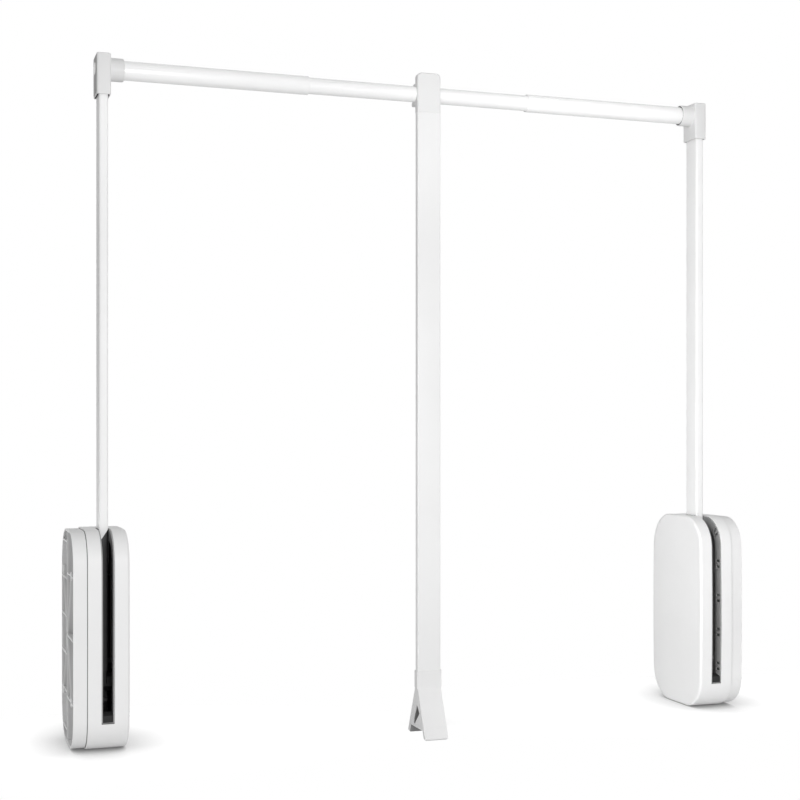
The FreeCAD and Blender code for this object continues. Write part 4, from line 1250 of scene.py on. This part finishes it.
    def collar(self) -> Surface:
        """Round collar on the head's inner face, chamfered, with a recessed mouth round the rail.

        Its profile is turned round the rail.

        Returns:
            A closed surface.
        """
        face = 2.0 * self.layout.arm_x - self.block.low[0] - self.collar_sink
        end, r, mouth = self.block.high[0], self.collar_radius, self.mouth_radius
        bore, foot, cut = self.rail_radius - self.collar_bite, r + self.collar_flange, self.collar_chamfer
        bottom = end - self.mouth_depth
        profile = [(face, bore), (face, foot), (face + self.collar_flange_width, foot),
                   (face + self.collar_flange_end, r), (end - cut, r), (end - cut / 3.0, r - cut / 3.0),
                   (end, r - cut * self.collar_chamfer_fall), (end, mouth),
                   (end - self.mouth_lip, mouth - self.mouth_lip_fall), (bottom, mouth - self.mouth_fall),
                   (bottom, bore)]
        return lathe(profile, self.layout.rail_axis)

    def cap(self) -> Surface:
        """Round cap in the head's outer face.

        Over its rim x = face + r (1 - sin t) and radius = outer - r (1 - cos t), for t from 0 to 90
        degrees.

        Returns:
            A closed surface.
        """
        box = Box.of("left_head_cap")
        radius = box.size[2] / 2.0
        t = np.linspace(0.0, math.pi / 2.0, self.cap_steps + 1)
        x = box.low[0] + self.cap_rim * (1 - np.sin(t))
        profile = [(box.high[0], radius), *zip(x, radius - self.cap_rim * (1 - np.cos(t)))]
        return lathe(profile, self.layout.rail_axis, closed=False)

    def outer_tube(self) -> Surface:
        """Outer rail tube with a rolled free end: its wall's profile turned round the rail.

        Returns:
            A closed surface.
        """
        start, end, radius, lip = self.rail.low[0], self.rail.high[0], self.rail_radius, self.rail_lip
        inner, edge, bend = radius - self.rail_wall, self.rail_inner_edge, lip * ROUND_MIDDLE
        profile = [(start, inner), (start, radius), (end - lip, radius), (end - bend, radius - bend),
                   (end, radius - lip), (end, inner + edge), (end - edge, inner)]
        return lathe(profile, self.layout.rail_axis, RAIL_TURNS)

    def build(self, side: Side) -> None:
        """Make and dress one arm with its head and rail tube.

        Args:
            side: Wall that it belongs to.
        """
        coated = self.tube(self.foot_top, lambda x: np.full(x.shape, self.arm.high[2]))
        foot = self.tube(lambda x: np.full(x.shape, self.arm.low[2]), self.foot_top)
        for label, shape, finish, slot, node in (
                ("arm_profile", coated, POWDER_COAT, "arm_powder_coat", "arm_tube"),
                # Painted shade: the arm's foot is black inside the slot, and its slanted top is a painted
                # shadow line.
                ("arm_shade_foot", foot, BLACK_COAT, "black_cast_metal", ""),
                # Painted shade: the black cheeks stand for the shade in the slot beside the arm.
                ("arm_shade_cheeks", self.cheeks(), BLACK_COAT, "black_cast_metal", ""),
                ("head_end_plate", self.end_plate(), HEAD_END_SHADE_ABS, "head_plastic", ""),
                # Painted shade: the black ring under the head stands for the shade of its underside.
                ("head_underside_shade", self.arm_shade_ring(), BUFFER_RUBBER, "buffer_rubber", ""),
                # Painted shadow: the black ring in the collar's mouth stands for the shadow line round the
                # rail.
                ("head_rail_shadow_ring", self.rail_shadow_ring(), BUFFER_RUBBER, "buffer_rubber", ""),
                ("head_body", self.head(), HEAD_ABS, "head_plastic", "head_block"),
                ("head_collar", self.collar(), HEAD_ABS, "head_plastic", ""),
                ("head_button", self.cap(), CAP_ABS, "head_cap_plastic", "head_cap"),
                ("rail_sleeve", self.outer_tube(), RAIL_ENAMEL, "rail_enamel", "outer_tube")):
            self.put(side, label, shape, finish, "arm", slot, node)
        dress_node(f"{side.value}_arm_pin", GROUND_STEEL)
        dress_node(f"{side.value}_hub_gear", BLACK_CASTING)


@dataclass
class Mechanism(SideUnit):
    """Parts in the closed housing: bracket, axle, rack, spring, damper and buffers.

    Attributes:
        finishes: Finish of each node that is dressed as it is.
        turns: Turns of the spring.
        steps_per_turn: Straight runs per turn.
        wire_width: Size of the spring's wire across the coil.
        wire_height: Its size along the coil.
        wire_edge: Rounding of its edges.
        rack_travel: How far the rack rises as the arm comes all the way down; not used.
        spring: Box of the left spring.
    """

    finishes: dict = field(default_factory=lambda: {
        "bracket": BLACK_COAT, "bracket_screws": ZINC_STEEL, "pivot_axle": GROUND_STEEL,
        "rack": DARK_NYLON, "damper_cylinder": BLACK_COAT, "damper_rod": GROUND_STEEL,
        "damper_clamps": BLACK_COAT, "rest_buffer": BUFFER_RUBBER, "stop_buffer": BUFFER_RUBBER})
    turns: int = 5
    steps_per_turn: int = 48
    wire_width: float = 2.8
    wire_height: float = 3.6
    wire_edge: float = 0.5
    rack_travel: float = 44.18
    spring: Box = field(init=False)

    def __post_init__(self) -> None:
        """Read the spring's box."""
        self.spring = Box.of("left_lift_spring")

    def coil(self) -> Surface:
        """Compression spring of flat wire: a rounded rectangle carried up a helix.

        At the angle a, from 0 to 360 degrees times the turns, the wire's middle stands on a circle of the
        coil's mean radius, at low + (high - low) a / end.

        Returns:
            A closed surface.
        """
        low, high, middle = self.spring.low, self.spring.high, self.spring.middle
        wire = rounded_rectangle((0.0, 0.0), self.wire_width, self.wire_height, self.wire_edge,
                                 FEW_STEPS)(0.0)
        a = np.linspace(0.0, 2.0 * math.pi * self.turns, self.steps_per_turn * self.turns + 1)[:, None]
        radius = (high[1] - low[1] - self.wire_width) / 2.0 + wire[None, :, 0]
        rise = np.linspace(low[2] + self.wire_height / 2.0, high[2] - self.wire_height / 2.0, len(a))
        return loft(np.stack([middle[0] + radius * np.cos(a), middle[1] + radius * np.sin(a),
                              rise[:, None] + wire[None, :, 1]], axis=-1))

    def build(self, side: Side) -> None:
        """Dress one side's mechanism and hang its spring on the rack.

        Args:
            side: Wall whose housing holds it.
        """
        spring = self.put(side, "lift_coil", self.coil(), SPRING_STEEL, "rack", "spring_steel",
                          "lift_spring")
        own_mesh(spring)
        for node, finish in self.finishes.items():
            dress_node(f"{side.value}_{node}", finish)


# ------------------------------------------------------------------ rail and handle
@dataclass
class InnerRail:
    """Inner rail tube that slides in both outer tubes.

    Attributes:
        layout: Places that it shares with the others.
        wall: Thickness of the tube.
        lip: Chamfer of its ends.
    """

    layout: Layout
    wall: float = 1.2
    lip: float = 0.25

    def build(self) -> None:
        """Make and dress the tube: its wall's profile turned round the rail."""
        box = Box.of("inner_tube")
        start, end, radius, lip = box.low[0], box.high[0], box.size[2] / 2.0, self.lip
        inner = radius - self.wall
        profile = [(start, inner), (start, radius - lip), (start + lip, radius), (end - lip, radius),
                   (end, radius - lip), (end, inner)]
        Piece("inner_rail_tube", lathe(profile, self.layout.rail_axis, RAIL_TURNS), RAIL_ENAMEL,
              "inner_rail", "rail_enamel_inner", ("inner_tube",)).build()


@dataclass
class PullHandle:
    """Flat pull handle: clip head round the rail, coated bar and forked grip.

    Attributes:
        bar_radius: Rounding of the bar's long edges.
        bar_rim: Rounding of its ends.
        prong_inside: Depth to which the prongs' outer faces keep the grip's white, at the tips.
        prong_slope: How fast the prongs come together with the height above their tips.
        web_inside: Depth to which the side webs keep the grip's white.
        hollow_shade_grey: sRGB colour of the painted shade on the grip's inside.
        soften: Width of the softened edges of head and grip.
    """

    bar_radius: float = 1.8
    bar_rim: float = 0.3
    prong_inside: float = 3.6
    prong_slope: float = 0.463
    web_inside: float = 2.0
    # Painted shade: the grip's inside is coloured this grey.
    hollow_shade_grey: str = "#7A7A7A"
    soften: float = 0.5

    def bar(self) -> Surface:
        """Flat bar with round long edges; its ends are hidden in head and grip.

        Returns:
            A closed surface.
        """
        box = Box.of("handle_bar")
        outline = rounded_rectangle(tuple(box.middle[:2]), box.size[0], box.size[1], self.bar_radius)
        path = rim_path(box.low[2], box.high[2], self.bar_rim, self.bar_rim, FEW_STEPS)
        return prism(outline, path, Axis.Z)

    def painted_hollow_shade(self, tree: bpy.types.NodeTree, place: bpy.types.NodeSocket) -> bpy.types.Node:
        """Add nodes that give 1 on the inside of the forked grip, which is painted as shade, else 0.

        Inside means |x - x0| below the webs' middle and |y - y0| below a limit that falls with the height
        above the prong tips as the prongs come together.

        Args:
            tree: Node tree of the material.
            place: Place on the object, in metres.

        Returns:
            The node that carries the result.
        """
        box = Box.of("handle_grip")
        middle, half = box.middle * MM, box.size / 2.0 * MM
        axes = add_node(tree, "ShaderNodeSeparateXYZ", {"Vector": place}).outputs
        height = add_node(tree, MATH, {"operation": "SUBTRACT", 0: axes["Z"], 1: float(box.low[2]) * MM})
        fall = add_node(tree, MATH, {"operation": "MULTIPLY", 0: height, 1: self.prong_slope})
        limit = add_node(tree, MATH, {"operation": "SUBTRACT",
                                      0: float(half[1]) - self.prong_inside * MM, 1: fall})
        between = add_node(tree, MATH, {"operation": "LESS_THAN", 1: limit,
                                        0: distance_from(tree, axes["Y"], float(middle[1]))})
        within = add_node(tree, MATH, {"operation": "LESS_THAN", 1: float(half[0]) - self.web_inside * MM,
                                       0: distance_from(tree, axes["X"], float(middle[0]))})
        return add_node(tree, MATH, {"operation": "MULTIPLY", 0: between, 1: within})

    def build(self) -> None:
        """Make and dress the handle."""
        Piece("handle_bar_profile", self.bar(), BAR_COAT, "handle", "bar_powder_coat",
              ("handle_bar",)).build()
        hollow_grip = replace(GRIP_ABS, inner=self.hollow_shade_grey, painted_shade_mask=self.painted_hollow_shade)
        dress_node("handle_head", HANDLE_ABS, self.soften)
        dress_node("handle_grip", hollow_grip, self.soften)
        dress_node("handle_screws", ZINC_STEEL)


# ------------------------------------------------------------------ studio
@dataclass(frozen=True)
class SoftBox:
    """One soft lamp.

    Attributes:
        name: What it is for.
        place: Where it stands, in metres.
        target: Where it looks.
        size: Width and height of its face, in metres.
        watts: Power.
        spread_deg: Angle of its beam.
    """

    name: str
    place: tuple
    target: tuple
    size: tuple
    watts: float
    spread_deg: float = 180.0

    def build(self) -> None:
        """Add the lamp; at its own place it looks along its negative Z axis."""
        data = bpy.data.lights.new(self.name, "AREA")
        data.shape = "RECTANGLE"
        data.size, data.size_y = self.size
        data.energy = self.watts
        data.spread = math.radians(self.spread_deg)
        made = bpy.data.objects.new(self.name, data)
        made.location = self.place
        aim = np.array(self.target) - np.array(self.place)
        flat = math.hypot(aim[0], aim[1])
        made.rotation_euler = (math.atan2(flat, -aim[2]), 0.0, math.atan2(-aim[0], aim[1]))
        made.visible_camera = False
        bpy.context.scene.collection.objects.link(made)


@dataclass
class Studio:
    """Pale floor, soft lamps and the camera, in metres.

    The key lamp stands before the left unit, so that faces turned to the left stay darker there and grow
    lighter to the right, where a second lamp reaches in between the arms.

    Attributes:
        camera_place: Where the camera stands.
        camera_yaw_deg: How far it is turned to the right.
        lens_mm: Focal length of its lens.
        sensor_mm: Width of its sensor.
        rise: Vertical shift of its picture, as a share of the width.
        view_reach: How far it sees.
        world_light: Strength of the even light on the object.
        floor_half: Half the floor's width.
        floor_gap: How far the floor is below the housings.
        floor_colour: Brightness of the floor where the camera looks at it.
        floor_glow: Light of its own that the floor has there.
        floor_bounce: Brightness of the floor for the light that it throws back on the object.
        shadow_reach: Distance from a housing's middle at which the floor begins to clear.
        shadow_fade: Distance over which it clears.
        zone_stretch: How much further both reach along the rail.
        foot_shade: Darkening of the floor where a housing covers it fully.
        foot_shade_reach: How far that darkening reaches.
        foot_shade_samples: Rays that look for the cover.
        lamps: The soft lamps.
    """

    camera_place: tuple = (-0.1854, -1.8795, 0.2677)
    camera_yaw_deg: float = 18.89
    lens_mm: float = 63.63
    sensor_mm: float = 36.0
    rise: float = 0.0354
    view_reach: float = 100.0
    world_light: float = 0.37
    floor_half: float = 12.0
    floor_gap: float = 0.0005
    floor_colour: float = 0.9
    floor_glow: float = 0.66
    floor_bounce: float = 0.85
    shadow_reach: float = 0.11
    shadow_fade: float = 0.12
    zone_stretch: float = 2.0
    foot_shade: float = 0.85
    foot_shade_reach: float = 0.09
    foot_shade_samples: int = 32
    lamps: tuple = (
        SoftBox("key", (0.3, -1.75, 0.45), (0.42, 0.0, 0.3), (0.7, 0.7), 15.5),
        SoftBox("between_the_arms", (0.25, -0.5, 0.3), (0.95, 0.0, 0.3), (0.3, 1.0), 0.7, 60.0),
        SoftBox("along_the_rail", (0.44, -1.0, 0.6), (0.44, 0.0, 0.734), (0.9, 0.1), 0.085, 24.0),
        SoftBox("beside_the_left_base", (-0.9, -0.25, 0.05), (0.0, 0.0, 0.0), (0.3, 0.3), 0.15, 40.0),
    )

    def camera(self) -> None:
        """Add a level camera, turned to the right, with a little vertical shift."""
        data = bpy.data.cameras.new("camera")
        data.lens = self.lens_mm
        data.sensor_width = self.sensor_mm
        data.sensor_fit = "HORIZONTAL"
        data.shift_y = self.rise
        data.clip_end = self.view_reach
        made = bpy.data.objects.new("camera", data)
        made.location = self.camera_place
        made.rotation_euler = (math.pi / 2.0, 0.0, -math.radians(self.camera_yaw_deg))
        bpy.context.scene.collection.objects.link(made)
        bpy.context.scene.camera = made

    @staticmethod
    def looked_at(tree: bpy.types.NodeTree) -> bpy.types.Node:
        """Add nodes that give 1 for what the camera, a reflection or a clear piece looks at, else 0.

        Args:
            tree: Node tree of the world or of a material.

        Returns:
            The node that carries the result.
        """
        path = add_node(tree, "ShaderNodeLightPath").outputs
        either = add_node(tree, MATH, {"operation": "MAXIMUM", 0: path["Is Camera Ray"],
                                       1: path["Is Glossy Ray"]})
        return add_node(tree, MATH, {"operation": "MAXIMUM", 0: either, 1: path["Is Transmission Ray"]})

    def world(self) -> None:
        """Make the world white to the eye and in gloss, and a dimmer even light on the object."""
        world = bpy.data.worlds.new("studio")
        bpy.context.scene.world = world
        world.use_nodes = True
        tree = world.node_tree
        tree.nodes.clear()
        strength = add_node(tree, "ShaderNodeMapRange",
                            {"To Min": self.world_light, "To Max": 1.0, "Value": self.looked_at(tree)})
        light = add_node(tree, "ShaderNodeBackground",
                         {"Color": (1.0, 1.0, 1.0, 1.0), "Strength": strength})
        add_node(tree, "ShaderNodeOutputWorld", {"Surface": light})

    def distance(self, tree: bpy.types.NodeTree, centre: tuple) -> bpy.types.NodeSocket:
        """Add nodes that measure how far a place on the floor is from a centre.

        The distance is sqrt((dx / stretch)^2 + dy^2), so its equal lines are ellipses along the rail.

        Args:
            tree: Node tree of the floor.
            centre: Centre (x, y, z) in metres.

        Returns:
            The socket that carries the distance in metres.
        """
        place = add_node(tree, "ShaderNodeTexCoord").outputs["Object"]
        offset = add_node(tree, "ShaderNodeVectorMath", {"operation": "SUBTRACT", 0: place, 1: centre})
        scaled = add_node(tree, "ShaderNodeVectorMath",
                          {"operation": "DIVIDE", 0: offset, 1: (self.zone_stretch, 1.0, 1.0)})
        return add_node(tree, "ShaderNodeVectorMath", {"operation": "LENGTH", 0: scaled}).outputs["Value"]

    def paint(self, feet: Sequence[tuple]) -> bpy.types.Material:
        """Make the floor's paint: pale and shaded round the housings, clear further off.

        Args:
            feet: Places (x, y, z) in metres round which it shows, two of them.

        Returns:
            The material.
        """
        made = bpy.data.materials.new("pale_floor")
        made.use_nodes = True
        tree = made.node_tree
        tree.nodes.clear()
        matt, bounce = [add_node(tree, "ShaderNodeBsdfDiffuse", {"Color": (grey, grey, grey, 1.0)})
                        for grey in (self.floor_colour, self.floor_bounce)]
        glow, dark = [add_node(tree, "ShaderNodeEmission", {"Strength": strength})
                      for strength in (self.floor_glow, 0.0)]
        clear = add_node(tree, "ShaderNodeBsdfTransparent")
        near = [self.distance(tree, foot) for foot in feet]
        nearest = add_node(tree, MATH, {"operation": "MINIMUM", 0: near[0], 1: near[1]})
        away = add_node(tree, "ShaderNodeMapRange",
                        {"interpolation_type": "SMOOTHSTEP", "From Min": self.shadow_reach,
                         "From Max": self.shadow_reach + self.shadow_fade, "Value": nearest})
        covered = add_node(tree, "ShaderNodeAmbientOcclusion",
                           {"samples": self.foot_shade_samples, "Distance": self.foot_shade_reach})
        shade = add_node(tree, "ShaderNodeMapRange",
                         {"To Min": self.foot_shade, "To Max": 0.0, "Value": covered.outputs["AO"]})
        lifted = add_node(tree, "ShaderNodeAddShader", {0: matt, 1: glow})
        shaded = add_node(tree, "ShaderNodeMixShader", {"Fac": shade, 1: lifted, 2: dark})
        near_feet = add_node(tree, "ShaderNodeMixShader",
                             {"Fac": self.looked_at(tree), 1: bounce, 2: shaded})
        surface = add_node(tree, "ShaderNodeMixShader", {"Fac": away, 1: near_feet, 2: clear})
        add_node(tree, "ShaderNodeOutputMaterial", {"Surface": surface})
        return made

    def floor(self) -> None:
        """Lay a pale floor just under the housings: it takes their shadows and is clear further off.

        Away from the housings the white backdrop shows through it, so it never hides the lowered arms or
        the hanging grip.
        """
        housings = [np.array(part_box(node)) for node in ("left_cover", "right_cover")]
        half, z = self.floor_half, float(housings[0][0, 2]) - self.floor_gap
        mesh = bpy.data.meshes.new("floor")
        mesh.from_pydata([(-half, -half, z), (half, -half, z), (half, half, z), (-half, half, z)], [],
                         [(0, 1, 2, 3)])
        mesh.materials.append(self.paint([(*box.mean(axis=0)[:2].tolist(), z) for box in housings]))
        made = bpy.data.objects.new("floor", mesh)
        bpy.context.scene.collection.objects.link(made)

    def build(self) -> None:
        """Set the whole studio up."""
        self.camera()
        self.world()
        self.floor()
        for lamp in self.lamps:
            lamp.build()
        bpy.context.scene.view_settings.view_transform = "Standard"


def main() -> None:
    """Load the frame, dress every part, and set up the studio."""
    logging.basicConfig(level=logging.INFO, format="%(name)s %(message)s")
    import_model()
    layout = Layout.read()
    units = (Housing(layout), Arm(layout), Mechanism(layout))
    for side in Side:
        for unit in units:
            unit.build(side)
    InnerRail(layout).build()
    PullHandle().build()
    Studio().build()


if __name__ == "__main__":
    main()
